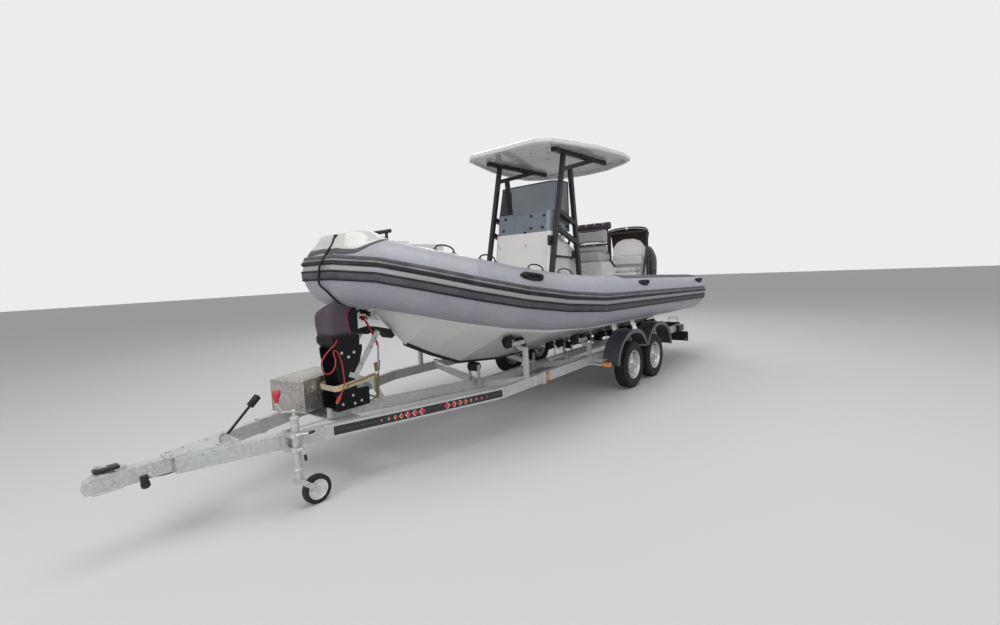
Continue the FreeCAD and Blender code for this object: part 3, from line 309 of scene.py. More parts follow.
def make_rubber(name, colour, rough=0.62):
    skin = mottled(name, colour, rough, light=1.3, dark=0.75, scale=7.0, grain=160.0, depth=0.0003)
    dust = skin.spread(skin.noise(11.0, 9.0, 0.6), 0.0, 0.22, 0.58, 0.88)
    plain = skin.shader.inputs["Base Color"].links[0].from_socket
    skin.look(Base_Color=skin.mix(plain, (0.22, 0.21, 0.19), dust), Specular_IOR_Level=0.22)
    return skin.skin


def make_paint(name, colour, rough, coat=0.0, metal=0.0, gleam=0.5):
    skin = mottled(name, colour, rough, metal, light=1.1, dark=0.9, scale=5.0, grain=320.0, depth=0.0002)
    skin.look(Coat_Weight=coat, Coat_Roughness=0.12, Specular_IOR_Level=gleam)
    return skin.skin


def make_lens(name, colour):
    skin = mottled(name, colour, 0.18, light=1.05, dark=0.92)
    skin.bump(skin.waves(60.0, "Z"), 0.0006, 0.6)
    skin.look(Coat_Weight=0.8, Coat_Roughness=0.05)
    return skin.skin


def make_tinted_screen(name):
    skin = Finish(name, 0.03)
    skin.look(Base_Color=skin.ramp(skin.noise(3.0, 3.0), (0.16, 0.175, 0.19), (0.20, 0.215, 0.23)),
              Transmission_Weight=0.88, IOR=1.12)
    return skin.skin


# Colour of each material, then what its kind still asks for
LOOKS = {
    make_gelcoat: {
        # The bow's gelcoat is the white gelcoat painted darker: painted shade on the bow moulding
        "gelcoat_white": ((0.75, 0.742, 0.72),), "gelcoat_bow": ((0.54, 0.532, 0.512),)},
    make_tube_fabric: {"tube_fabric": ()},
    make_galvanised: {"galvanised": ()},
    make_checker_plate: {"checker_plate": ()},
    make_tinted_screen: {"tinted_screen": ()},
    make_pad_rubber: {"pad_grey": ((0.115, 0.11, 0.115),)},
    # Roughness
    make_rubber: {
        "strake_black": ((0.016, 0.015, 0.017), 0.5), "strake_grey": ((0.085, 0.08, 0.088), 0.5),
        # The light strake grey is a painted highlight along the upper strake's rounded top
        "strake_light": ((0.22, 0.215, 0.22), 0.45), "black_rubber": ((0.022, 0.022, 0.023),),
        "tyre_rubber": ((0.026, 0.026, 0.027), 0.72)},
    # Roughness, coat, metal and gleam
    make_paint: {
        "black_plastic": ((0.016, 0.016, 0.018), 0.36, 0, 0, 0.35),
        "grey_plastic": ((0.048, 0.053, 0.061), 0.3, 0.3),
        "red_plastic": ((0.48, 0.03, 0.04), 0.35),
        "screen_band": ((0.15, 0.18, 0.215), 0.28, 0.4),
        "frame_paint": ((0.030, 0.025, 0.027), 0.42, 0, 0, 0.3),
        "engine_paint": ((0.016, 0.015, 0.016), 0.4, 0.1, 0, 0.2),
        "black_steel": ((0.008, 0.008, 0.009), 0.45, 0, 0, 0.2),
        "bright_metal": ((0.60, 0.60, 0.59), 0.3, 0, 0.85),
        "rim_silver": ((0.56, 0.57, 0.58), 0.32, 0, 0.7),
        "strip_dark": ((0.017, 0.017, 0.02), 0.35),
        "strip_grey": ((0.12, 0.12, 0.13), 0.4),
        "red_film": ((0.62, 0.03, 0.05), 0.3),
        "display_glass": ((0.012, 0.014, 0.018), 0.08, 1.0),
        "compass_glass": ((0.02, 0.024, 0.03), 0.05, 1.0),
        "dial_face": ((0.02, 0.02, 0.022), 0.25, 0.8),
        "dial_marks": ((0.75, 0.75, 0.74), 0.4)},
    make_vinyl: {
        "cushion_grey": ((0.60, 0.60, 0.61),), "cushion_pale": ((0.66, 0.655, 0.66),),
        # The gap's darker grey is painted shade that the strakes cast on the tube between them
        "welt_grey": ((0.42, 0.42, 0.43),), "gap_fabric": ((0.40, 0.39, 0.41),)},
    # Threads to the metre
    make_cloth: {
        "cover_fabric": ((0.085, 0.068, 0.085),), "cover_side": ((0.010, 0.009, 0.011),),
        "cover_hem": ((0.03, 0.028, 0.032),), "stern_cloth": ((0.038, 0.030, 0.027),),
        "black_rope": ((0.022, 0.021, 0.022), 700.0), "black_webbing": ((0.02, 0.02, 0.02), 900.0),
        "red_webbing": ((0.42, 0.025, 0.03), 900.0), "tan_webbing": ((0.55, 0.46, 0.31), 900.0),
        "tan_dark": ((0.20, 0.15, 0.075), 900.0), "grey_webbing": ((0.42, 0.39, 0.37), 900.0)},
    make_lens: {
        "lamp_lens": ((0.85, 0.27, 0.03),), "red_lens": ((0.55, 0.02, 0.02),),
        "amber_lens": ((0.85, 0.27, 0.03),), "lamp_glass": ((0.75, 0.76, 0.76),)}}
MATERIALS = {name: make(name, *look) for make, rows in LOOKS.items() for name, look in rows.items()}

for part in frame["record"]["subparts"]:
    solids = NODES[part["node"]].data.materials
    solids.clear()
    solids.append(MATERIALS[part["material_slot"]])


# Mesh tools
FLAT = Matrix.Identity(4)


def finish(name, bm, materials, body=ROOT, crease=32.0):
    """Turn a built mesh into a piece that rides on a body."""
    bmesh.ops.recalc_face_normals(bm, faces=bm.faces)
    limit = math.radians(crease)
    for edge in bm.edges:
        if len(edge.link_faces) == 2 and edge.calc_face_angle(0.0) > limit:
            edge.smooth = False
    for face in bm.faces:
        face.smooth = True
    mesh = bpy.data.meshes.new(name)
    bm.to_mesh(mesh)
    bm.free()
    for material in materials:
        mesh.materials.append(MATERIALS[material])
    piece = add(name, mesh)
    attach(piece, body)
    return piece


def smoothed(piece, levels=1):
    modifier = piece.modifiers.new("smooth", "SUBSURF")
    modifier.levels = modifier.render_levels = levels


def paint(made, index):
    for face in {face for vert in made for face in vert.link_faces}:
        face.material_index = index
    return made


def round_off(bm, edges, offset, segments):
    bmesh.ops.bevel(
        bm, geom=list(edges), offset=offset, segments=segments, profile=0.5, affect="EDGES", material=-1)


def plate(bm, middle, turn, size, index=0, soften=0.002, steps=2):
    """Rounded plate about its middle: size along, across and off a tilted face."""
    place = Matrix.Translation(middle) @ turn @ Matrix.Diagonal((*size, 1.0))
    made = paint(bmesh.ops.create_cube(bm, size=1.0, matrix=place)["verts"], index)
    if soften > 0.0:
        round_off(bm, {edge for vert in made for edge in vert.link_edges}, soften, steps)
    return made


def block(bm, low, high, index=0, soften=0.0, steps=2):
    """Box between two corners in metres, its edges rounded."""
    low, high = Vector(low), Vector(high)
    return plate(bm, (low + high) / 2, FLAT, high - low, index, soften, steps)


def cone(bm, place, r, tip, depth, index, sides):
    return paint(bmesh.ops.create_cone(
        bm, cap_ends=True, segments=sides, radius1=r, radius2=tip, depth=depth, matrix=place)["verts"], index)


def rod(bm, a, b, r, index=0, sides=16):
    """Round bar between two points in metres."""
    a, b = Vector(a), Vector(b)
    turn = (b - a).to_track_quat("Z", "Y").to_matrix().to_4x4()
    return cone(bm, Matrix.Translation((a + b) / 2) @ turn, r, r, (b - a).length, index, sides)


def ball(bm, centre, r, index=0, scale=(1, 1, 1), rings=10):
    place = Matrix.Translation(centre) @ Matrix.Diagonal((*scale, 1.0))
    paint(bmesh.ops.create_uvsphere(
        bm, u_segments=2 * rings, v_segments=rings, radius=r, matrix=place)["verts"], index)


def turned(bm, profile, centre, axis, index=0, steps=32, marks=None):
    """Spin a profile of (radius, distance along the axis) round an axis."""
    centre, axis = Vector(centre), Vector(axis).normalized()
    side = axis.orthogonal().normalized()
    start = [bm.verts.new(centre + side * r + axis * h) for r, h in profile]
    edges = [bm.edges.new(pair) for pair in zip(start, start[1:])]
    bmesh.ops.spin(
        bm, geom=start + edges, cent=centre, axis=axis, angle=2.0 * math.pi, steps=steps, use_merge=True)
    seen = {face for vert in start for face in vert.link_faces}
    queue = list(seen)
    while queue:
        for edge in queue.pop().edges:
            for face in edge.link_faces:
                if face not in seen:
                    seen.add(face)
                    queue.append(face)
    for face in seen:
        face.material_index = index
        if marks:
            middle = face.calc_center_median() - centre
            face.material_index = marks((middle - axis * middle.dot(axis)).length)


def hexagon(bm, centre, axis, across, tall, index=0):
    """Nut or bolt head with a washer under it, standing on a surface."""
    centre, axis = Vector(centre), Vector(axis).normalized()
    rod(bm, centre - axis * 0.001, centre + axis * tall * 0.2, across * 0.75, index, 16)
    head = rod(bm, centre + axis * tall * 0.2, centre + axis * tall, across * 0.58, index, 6)
    top = [v for v in head if (v.co - centre).dot(axis) > tall * 0.6]
    round_off(bm, [e for e in {e for v in top for e in v.link_edges} if all(v in top for v in e.verts)],
              across * 0.06, 1)


def bolts(bm, spots, axis, across=0.013, tall=0.009, index=0):
    """The same bolt at several points in millimetres."""
    for spot in spots:
        hexagon(bm, at(*spot), axis, across, tall, index)


def ring_of(start, side, up, section):
    """Points about a start from pairs of millimetres along side and up."""
    return [start + side * (a * MM) + up * (b * MM) for a, b in section]


def sweep(bm, path, ring, indices=None):
    """Draw a closed ring of points along straight runs, mitred at each bend.

    The ring's points lie about the first point of the path. indices holds one
    material for each of the ring's edges.
    """
    path = [Vector(p) for p in path]
    runs = [(b - a).normalized() for a, b in zip(path, path[1:])]
    here = [bm.verts.new(p) for p in ring]
    pairs = list(zip(here, here[1:] + here[:1]))
    edges = [bm.edges.new(pair) for pair in pairs]
    first, faces = list(here), []
    for k, run in enumerate(runs):
        made = bmesh.ops.extrude_edge_only(bm, edges=edges)["geom"]
        new_faces = [g for g in made if isinstance(g, bmesh.types.BMFace)]
        fresh = {g for g in made if isinstance(g, bmesh.types.BMVert)}
        mate = {}
        for vert in here:
            for edge in vert.link_edges:
                if edge.other_vert(vert) in fresh:
                    mate[vert] = edge.other_vert(vert)
        after = runs[min(k + 1, len(runs) - 1)]
        normal = (run + after).normalized()
        for vert in here:
            mate[vert].co = vert.co + run * ((path[k + 1] - vert.co).dot(normal) / run.dot(normal))
        if indices:
            order = {frozenset(pair): index for pair, index in zip(pairs, indices)}
            for face in new_faces:
                for edge in face.edges:
                    face.material_index = order.get(frozenset(edge.verts), face.material_index)
        faces += new_faces
        here = [mate[vert] for vert in here]
        pairs = list(zip(here, here[1:] + here[:1]))
        edges = [bm.edges.get(pair) for pair in pairs]
    for end in (first, here):
        bmesh.ops.contextual_create(bm, geom=end)
    return faces


def colour_all(faces, index):
    """Give one material to some faces and to those that share an edge with them."""
    for face in {f for face in faces for e in face.edges for f in e.link_faces}:
        face.material_index = index


def strap(bm, path, width, thick, across, index=0):
    """Flat strap along straight runs, its width kept along one direction."""
    path = [Vector(p) for p in path]
    run = (path[1] - path[0]).normalized()
    across = (Vector(across) - run * Vector(across).dot(run)).normalized()
    half, up = across * (width / 2), run.cross(across).normalized() * thick
    a = path[0]
    colour_all(sweep(bm, path, [a - half, a + half, a + half + up, a - half + up]), index)


def line(name, points, r, material, order=3, cyclic=False, fine=3, parts=6):
    """Fixed pipe, wire or hose as a smooth curve."""
    data = bpy.data.curves.new(name, "CURVE")
    data.dimensions = "3D"
    data.bevel_depth, data.bevel_resolution, data.use_fill_caps = r, fine, True
    spline = data.splines.new("NURBS")
    spline.points.add(len(points) - 1)
    for spot, p in zip(spline.points, points):
        spot.co = (*p, 1.0)
    spline.order_u, spline.resolution_u = order, parts
    spline.use_endpoint_u, spline.use_cyclic_u = not cyclic, cyclic
    data.materials.append(MATERIALS[material])
    piece = add(name, data)
    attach(piece, ROOT)
    return piece


def other_side(p):
    return Vector((p[0], -p[1], p[2]))


def closed(port):
    """Points on the port side from middle line to middle line, and their mirror images."""
    return port + [other_side(p) for p in reversed(port[1:-1])]


def mirror_y(bm):
    """Add the same geometry on the other side of the boat."""
    copy = bmesh.ops.duplicate(bm, geom=bm.verts[:] + bm.edges[:] + bm.faces[:])["geom"]
    verts = [g for g in copy if isinstance(g, bmesh.types.BMVert)]
    bmesh.ops.scale(bm, vec=(1.0, -1.0, 1.0), verts=verts)


def loop_of(bm, points):
    """Closed loop of new vertices and its edges."""
    verts = [bm.verts.new(p) for p in points]
    return verts, [bm.edges.new(pair) for pair in zip(verts, verts[1:] + verts[:1])]


# Free cord: the safety lead that hangs off the winch tray, seen from end to end
LEAD_POINTS = (
    (2.6410, 0.120, 1.0812), (2.6535, 0.140, 1.070), (2.6855, 0.154, 1.044), (2.7335, 0.158, 1.014),
    (2.7825, 0.161, 0.972), (2.8125, 0.163, 0.923), (2.8075, 0.165, 0.868), (2.7725, 0.163, 0.830),
    (2.7235, 0.158, 0.838), (2.6875, 0.151, 0.878), (2.6775, 0.147, 0.930), (2.6905, 0.142, 0.974),
    (2.6835, 0.137, 1.006), (2.6535, 0.133, 0.993), (2.6315, 0.133, 0.945), (2.6175, 0.134, 0.880),
    (2.6125, 0.135, 0.810), (2.6095, 0.136, 0.748), (2.6175, 0.136, 0.692), (2.6455, 0.136, 0.650))
LEAD_THICK = 0.010
PLUG_END = (2.6935, 0.136, 0.578)


def lead_plug():
    """Moulded red plug: a ribbed boot, a flat grip and a dark face with two pins."""
    bm = bmesh.new()
    cone(bm, Matrix.Translation((0, 0, 0.012)), 0.0065, 0.0095, 0.030, 0, 20)
    plate(bm, (0, 0, 0.052), FLAT, (0.033, 0.019, 0.056), 0, 0.0065, 4)
    for k in range(4):
        r = 0.0085 + 0.0005 * k
        rib = cone(bm, Matrix.Translation((0, 0, 0.002 + 0.006 * k)), r, r, 0.0028, 0, 20)
        round_off(bm, {e for v in rib for e in v.link_edges}, 0.0006, 1)
    for k, side in product(range(5), (-1, 1)):
        plate(bm, (0, side * 0.0092, 0.036 + 0.007 * k), FLAT, (0.022, 0.0025, 0.0028), 0, 0.0007, 1)
    plate(bm, (0, 0, 0.080), FLAT, (0.027, 0.014, 0.004), 1, 0.0)
    for side in (-1, 1):
        cone(bm, Matrix.Translation((side * 0.0075, 0, 0.0835)), 0.0022, 0.0016, 0.0055, 2, 14)
    start = Vector(LEAD_POINTS[-1])
    turn = (Vector(PLUG_END) - start).to_track_quat("Z", "Y").to_matrix().to_4x4()
    bmesh.ops.transform(bm, matrix=Matrix.Translation(start) @ turn, verts=bm.verts)
    plug = finish("safety_plug", bm, ["red_plastic", "black_plastic", "bright_metal"], crease=34.4)
    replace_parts(plug, "lead_plug")
    return plug


# Limp red lead with one loose loop, from the tray's side down to its plug
lead = line("safety_lead", LEAD_POINTS, LEAD_THICK / 2, "red_plastic", fine=5, parts=14)
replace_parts(lead, "winch_lead")
lead_plug()


# Inflatable collar
TUBE_R = 0.283
COLLAR = [at(*p) for p in (
    (-2050, 965, 1085), (1500, 965, 1190), (2150, 932, 1250), (2650, 838, 1325),
    (3050, 690, 1415), (3350, 480, 1505), (3590, 270, 1578), (3727, 105, 1600))]
COLLAR_ROUND = COLLAR + [other_side(p) for p in reversed(COLLAR)]


def collar_at(x):
    """Middle of the port tube at a place along X in millimetres, and its run."""
    x = x * MM + SHIFT_X
    for a, b in zip(COLLAR, COLLAR[1:]):
        if a.x <= x <= b.x:
            return a.lerp(b, (x - a.x) / (b.x - a.x)), (b - a).normalized()
    return COLLAR[0].copy(), (COLLAR[1] - COLLAR[0]).normalized()


def collar_sides(x):
    run = collar_at(x)[1]
    side = Vector((-run.y, run.x, 0.0)).normalized()
    return side, run.cross(side).normalized()


def on_collar(x, angle, out):
    """Point over the port tube: angle above level, height off the fabric in metres."""
    side, up = collar_sides(x)
    t = math.radians(angle)
    return collar_at(x)[0] + (side * math.cos(t) + up * math.sin(t)) * (TUBE_R + out)


def round_collar(bm, section, indices=None):
    """Draw a section round the whole collar: angle above level, height off the fabric in millimetres."""
    ring = []
    for angle, out in section:
        t = math.radians(angle)
        ring.append(COLLAR[0] + (ACROSS * math.cos(t) + UP * math.sin(t)) * (TUBE_R + out * MM))
    sweep(bm, COLLAR_ROUND, ring, indices)


# Strake sections: angle above level, height off the fabric, and the material after that point
UPPER = ((19.0, 0.3, 1), (18.8, 7, 1), (18.0, 12, 1), (16.8, 14, 1), (14.6, 14.5, 1), (13.2, 14, 0),
         (13.0, 9, 0),
         # Material 2 on the upper strake's rounded top is a painted highlight band
         (12.6, 9, 2), (12.4, 13, 2), (10.9, 14, 2), (9.4, 13, 0), (9.2, 10, 0), (8.9, 15, 0), (8.2, 19, 0),
         (6.2, 20, 0), (4.2, 19, 0), (3.4, 14, 0), (3.1, 6, 0), (3.0, 0.3, 0), (8.0, 0.3, 0), (13.5, 0.3, 0))
LOWER = ((-5.0, 0.3, 0), (-5.1, 9, 0), (-5.6, 14, 0), (-6.8, 15.5, 0), (-7.9, 14, 0), (-8.2, 11, 1),
         (-9.5, 12, 1), (-12.5, 13, 1), (-15.8, 12, 1), (-17.3, 11, 0), (-17.7, 14, 0), (-19.0, 15.5, 0),
         (-20.3, 13, 0), (-20.9, 7, 0), (-21.0, 0.3, 0), (-16.0, 0.3, 0), (-10.5, 0.3, 0))


# Lifeline loops: middle along X and half length in millimetres, and their angle above level
LOOPS = ((3240.0, 66.0), (2890.0, 74.0), (2335.0, 98.0), (1855.0, 124.0))
LOOP_ANGLE = 91.0


def make_strakes():
    bm = bmesh.new()
    for section in (UPPER, LOWER):
        round_collar(bm, [row[:2] for row in section], [row[2] for row in section])
    # The third material is a painted highlight on the upper strake's rounded top
    piece = finish("strake_bands", bm, ["strake_black", "strake_grey", "strake_light"], crease=28.0)
    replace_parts(piece, "rub_strakes")


def make_valves():
    """Inflation valves and the eyelets that the lifeline loops start from."""
    bm = bmesh.new()
    for x in (1700.0, 120.0, -1500.0):
        top = on_collar(x, 118.0, 0.0)
        away = (top - collar_at(x)[0]).normalized()
        turned(bm, [(0.0, 0.011), (0.012, 0.011), (0.015, 0.008), (0.024, 0.008), (0.031, 0.003),
                    (0.055, 0.002), (0.057, -0.004)], top, away, 0, 28)
    for x in [x + end for x, half in LOOPS for end in (-half, half)]:
        foot = on_collar(x, LOOP_ANGLE, 0.0)
        away = (foot - collar_at(x)[0]).normalized()
        turned(bm, [(0.0, 0.005), (0.026, 0.004), (0.034, 0.0015), (0.035, -0.004)], foot, away, 1, 24)
        turned(bm, [(0.0, 0.014), (0.011, 0.013), (0.0125, 0.009), (0.0125, 0.001)], foot, away, 0, 16)
    mirror_y(bm)
    finish("tube_valves", bm, ["black_plastic", "pad_grey"])


def make_gap_shade_band():
    """Darker grey band on the tube between the two strakes: painted shade from the strakes."""
    bm = bmesh.new()
    round_collar(bm, ((-5.2, 0.0), (-4.0, 2.0), (-1.0, 2.2), (2.0, 2.0), (3.2, 0.0), (-1.0, -0.4)))
    finish("strake_gap_shade", bm, ["gap_fabric"])


HUG_STEPS, NEAR = 3, 1e-9


def hug(p, off):
    """Point off metres away from the fabric of the mitred tube, straight out from p.

    The nearest run is sought again from each answer, since a mitre can hand p to its neighbour.
    """
    runs = [(b - a).normalized() for a, b in zip(COLLAR_ROUND, COLLAR_ROUND[1:])]
    for _ in range(HUG_STEPS):
        best = None
        for k, (a, b) in enumerate(zip(COLLAR_ROUND, COLLAR_ROUND[1:])):
            before, run, after = runs[max(0, k - 1)], runs[k], runs[min(len(runs) - 1, k + 1)]
            if (p - a).dot(before + run) < -NEAR or (p - b).dot(run + after) > NEAR:
                continue
            foot = a + run * (p - a).dot(run)
            if best is None or (p - foot).length < (p - best).length:
                best = foot
        p = best + (p - best).normalized() * (TUBE_R + off)
    return p


# Bow moulding: stations from the nose round the port side to the heel,
# on its foot, on the edge of its top, and on the outer edge of the saddle strip
MOULD_FOOT = ((3918, 0, 1793), (3920, 60, 1788), (3918, 115, 1781), (3908, 168, 1775), (3888, 218, 1773),
              (3862, 260, 1778), (3838, 298, 1784), (3791, 319, 1803), (3740, 329, 1824), (3688, 334, 1840),
              (3620, 326, 1858), (3550, 300, 1864), (3485, 240, 1862), (3445, 140, 1862), (3435, 0, 1862))
MOULD_TOP = ((3880, 0, 1911), (3880, 68, 1911), (3871, 118, 1912), (3842, 160, 1916), (3800, 187, 1922),
             (3755, 203, 1927), (3705, 211, 1931), (3655, 212, 1932), (3610, 208, 1929), (3565, 198, 1922),
             (3525, 182, 1912), (3495, 158, 1902), (3475, 120, 1893), (3462, 65, 1888), (3458, 0, 1886))
SADDLE_EDGE = ((3950, 0, 1762), (3954, 62, 1755), (3955, 122, 1744), (3944, 182, 1736), (3918, 238, 1737),
               (3886, 282, 1745), (3853, 318, 1756), (3800, 341, 1778), (3748, 353, 1802), (3694, 361, 1820),
               (3628, 358, 1840), (3560, 334, 1858))


def ring_round(stations):
    """Closed ring from stations on the port side, its ends on the middle line."""
    return closed(thread([at(*p) for p in stations], 2))


def thread(points, parts):
    """More points on a smooth line through the given ones."""
    last = len(points) - 1
    made = []
    for k in range(last):
        a, b, c, d = points[max(0, k - 1)], points[k], points[k + 1], points[min(last, k + 2)]
        for n in range(parts):
            t = n / parts
            turn = (2 * a - 5 * b + 4 * c - d) * t ** 2 + (3 * b - 3 * c + d - a) * t ** 3
            made.append((2 * b + (c - a) * t + turn) * 0.5)
    return made + [points[last]]


# Ridge of the step on its middle line: X and Z in millimetres
RIDGE = ((3440, 1870), (3550, 1915), (3670, 1936), (3790, 1925), (3872, 1896), (3930, 1870))


def ridge_height(x):
    """Height in metres of the step's ridge at a packed X in metres."""
    x = (x - SHIFT_X) * 1000.0
    for (x0, z0), (x1, z1) in zip(RIDGE, RIDGE[1:]):
        if x <= x1:
            break
    return (z0 + (z1 - z0) * (x - x0) / (x1 - x0)) * MM


def make_moulding():
    """White step over the bow, its flanks spread over the shoulders of the tube."""
    bm = bmesh.new()
    foot, top = ring_round(MOULD_FOOT), ring_round(MOULD_TOP)
    middle, crown = at(3690, 0, 1780), at(3670, 0, 1943)
    # Aft of this place the foot stands on the step and not on the tube
    over = at(3580, 0, 0).x

    def outward(p):
        return Vector((p.x - middle.x, p.y - middle.y, 0.0)).normalized()

    def on_foot(p, reach, off):
        return hug(p + outward(p) * reach, off) if p.x > over else p + UP * off

    def on_flank(p, swell):
        p = p + outward(p) * swell
        outside = hug(p, 0.014)
        return outside if p.x > over and (outside - p).dot(p - hug(p, -0.2)) > 0.0 else p

    def on_crown(p, share, lift):
        spot = p.lerp(crown, share) + UP * lift
        spot.z = max(spot.z, ridge_height(spot.x) + 0.004)
        return spot

    rings = [[on_foot(p, reach, off) for p in foot]
             for reach, off in ((0.004, -0.022), (0.012, -0.004), (0.012, 0.006), (0.008, 0.010))]
    rings += [[on_flank(a.lerp(b, share), swell) for a, b in zip(foot, top)]
              for share, swell in ((0.16, 0.012), (0.38, 0.020), (0.70, 0.018), (0.93, 0.007))]
    rings += [top] + [[on_crown(p, share, lift) for p in top]
                      for share, lift in ((0.12, 0.004), (0.5, 0.004), (0.85, 0.0))]
    loops = [loop_of(bm, ring)[1] for ring in rings]
    for low, high in zip(loops, loops[1:]):
        bmesh.ops.bridge_loops(bm, edges=low + high)
    bmesh.ops.contextual_create(bm, geom=loops[-1])
    # Its gelcoat is painted darker than the other white parts, as painted shade
    smoothed(finish("bow_moulding", bm, ["gelcoat_bow"], crease=70.0), 2)


def make_saddle():
    """Dark strip bonded round the foot of the bow moulding."""
    bm = bmesh.new()
    inner, outer = (thread([at(*p) for p in edge[:len(SADDLE_EDGE)]], 5)
                    for edge in (MOULD_FOOT, SADDLE_EDGE))
    port = list(zip(inner, outer))
    line_up = [(other_side(a), other_side(b)) for a, b in reversed(port[1:])] + port
    loops = []
    for share, off in ((0.0, -0.004), (0.0, 0.0045), (0.25, 0.0050), (0.5, 0.0052), (0.75, 0.0050),
                       (1.0, 0.0045), (1.0, -0.004)):
        verts = [bm.verts.new(hug(a.lerp(b, share), off)) for a, b in line_up]
        loops.append([bm.edges.new(pair) for pair in zip(verts, verts[1:])])
    for low, high in zip(loops, loops[1:]):
        bmesh.ops.bridge_loops(bm, edges=low + high)
    finish("bow_saddle", bm, ["strake_grey"], crease=40.0)


def make_bow_strap():
    """Strap from the hook on the moulding, over the bow and down to the winch."""
    path = [at(3893, 112, 1888), at(3925, 110, 1822)]
    for x, y, z, off in ((3950, 106, 1772, 12), (3980, 104, 1728, 12), (4003, 101, 1694, 24),
                         (4015, 94, 1662, 30),
                         (4019, 84, 1598, 30), (4017, 70, 1566, 30), (4014, 62, 1536, 28),
                         (4009, 66, 1508, 24),
                         (3993, 92, 1474, 12), (3962, 110, 1422, 10), (3925, 120, 1384, 10)):
        path.append(hug(at(x, y, z), off * MM))
    line("bow_strap", path + [at(3880, 112, 1352)], 0.0085, "black_webbing")
    bm = bmesh.new()
    block(bm, at(3872, 96, 1878), at(3900, 128, 1906), 0, 0.006, 2)
    rod(bm, at(3886, 112, 1895), at(3912, 112, 1870), 0.007, 0, 12)
    rod(bm, at(3912, 112, 1872), at(3905, 112, 1856), 0.006, 0, 12)
    finish("bow_hook", bm, ["black_plastic"])


def over_tube(bm, x, angle):
    """Lay a mesh built on a flat pad over the tube: X along, Y round, Z off the fabric."""
    centre, along = collar_at(x)
    side, up = collar_sides(x)
    for vert in bm.verts:
        u, v, w = vert.co
        t = math.radians(angle) + v / TUBE_R
        vert.co = centre + along * u + (side * math.cos(t) + up * math.sin(t)) * (TUBE_R + w)


def make_handles():
    """Moulded grab handles on the tube's shoulder and the lifeline loops on its top."""
    whole = bmesh.new()
    for x, angle in ((2580.0, 41.0), (350.0, 41.0), (-1945.0, 41.0)):
        bm = bmesh.new()
        ball(bm, (0, 0, -0.002), 1.0, 0, (0.142, 0.048, 0.016), 18)
        ball(bm, (0, 0, 0.004), 1.0, 0, (0.122, 0.036, 0.020), 18)
        for end in (-0.098, 0.098):
            ball(bm, (end, 0, 0.014), 1.0, 0, (0.030, 0.026, 0.026), 12)
        rod(bm, (-0.098, 0, 0.034), (0.098, 0, 0.034), 0.0125, 0, 18)
        for k in range(9):
            rod(bm, (-0.058 + 0.0145 * k, 0, 0.034), (-0.052 + 0.0145 * k, 0, 0.034), 0.0138, 0, 18)
        over_tube(bm, x, angle)
        mesh = bpy.data.meshes.new("pad")
        bm.to_mesh(mesh)
        bm.free()
        whole.from_mesh(mesh)
        bpy.data.meshes.remove(mesh)
    mirror_y(whole)
    piece = finish("grab_handles", whole, ["black_rubber"])
    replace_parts(piece, "tube_handles")
    for k, (x, half) in enumerate(LOOPS):
        spots = [on_collar(x + half * dx, LOOP_ANGLE, up) for dx, up in
                 ((-1.0, -0.004), (-1.0, 0.010), (-0.84, 0.036), (-0.35, 0.052), (0.35, 0.052), (0.84, 0.036),
                  (1.0, 0.010), (1.0, -0.004))]
        line("lifeline_port_%d" % k, spots, 0.0068, "black_rope")
        line("lifeline_starboard_%d" % k, [other_side(p) for p in spots], 0.0068, "black_rope")


make_strakes()
make_gap_shade_band()
make_valves()
make_moulding()
make_saddle()
make_bow_strap()
make_handles()


# Road wheels
TYRE_R, RIM_R, TYRE_HALF, WHEEL_Y, AXLE_Z = 0.298, 0.181, 0.085, 974.0, 298.0
GROOVES = (0.050, 0.017, -0.017, -0.050)
AXLES = (("front", 362.0), ("rear", -362.0))


def spoke(angle):
    """Way out from a wheel's middle, in degrees from forward to up."""
    return Vector((math.cos(math.radians(angle)), 0.0, math.sin(math.radians(angle))))


def make_tyre(name, centre, axis):
    """Carcass with moulded rings, and a tread of raised blocks."""
    h, r, deep = TYRE_HALF, TYRE_R, 0.0065
    wall = [
        (RIM_R - 0.0060, h - 0.018), (RIM_R + 0.003, h - 0.0145), (RIM_R + 0.008, h - 0.0155),
        (RIM_R + 0.012, h - 0.009), (RIM_R + 0.030, h - 0.0042), (RIM_R + 0.034, h - 0.0022),
        (RIM_R + 0.038, h - 0.0036), (RIM_R + 0.060, h - 0.0012), (r - 0.050, h - 0.0004),
        (r - 0.041, h - 0.0018), (r - 0.036, h - 0.0004), (r - 0.024, h - 0.006), (r - 0.0135, h - 0.014)]
    crown = [(r - 0.0105, h - 0.020)]
    for g in GROOVES:
        crown += [(r - deep, g + 0.0042), (r - 0.0125, g + 0.0030),
                  (r - 0.0125, g - 0.0030), (r - deep, g - 0.0042)]
    crown += [(r - 0.0105, -h + 0.020)]
    far = [(radius, -along) for radius, along in reversed(wall)]
    bm = bmesh.new()
    turned(bm, wall + crown + far + [wall[0]], centre, axis, steps=80)
    bmesh.ops.remove_doubles(bm, verts=bm.verts, dist=1e-6)
    bmesh.ops.recalc_face_normals(bm, faces=bm.faces)

    def is_rib(face):
        middle = face.calc_center_median() - centre
        along = abs(middle.y)
        flat = r - 0.0118 < math.hypot(middle.x, middle.z) and along < h - 0.0185
        return flat and all(abs(along - abs(g)) >= 0.0043 for g in GROOVES)

    bmesh.ops.inset_individual(bm, faces=[face for face in bm.faces if is_rib(face)], thickness=0.0017,
                               depth=deep - 0.0004, use_even_offset=True)
    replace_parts(finish("tread_" + name, bm, ["tyre_rubber"], "wheel_" + name, crease=24.0), "tyre_" + name)


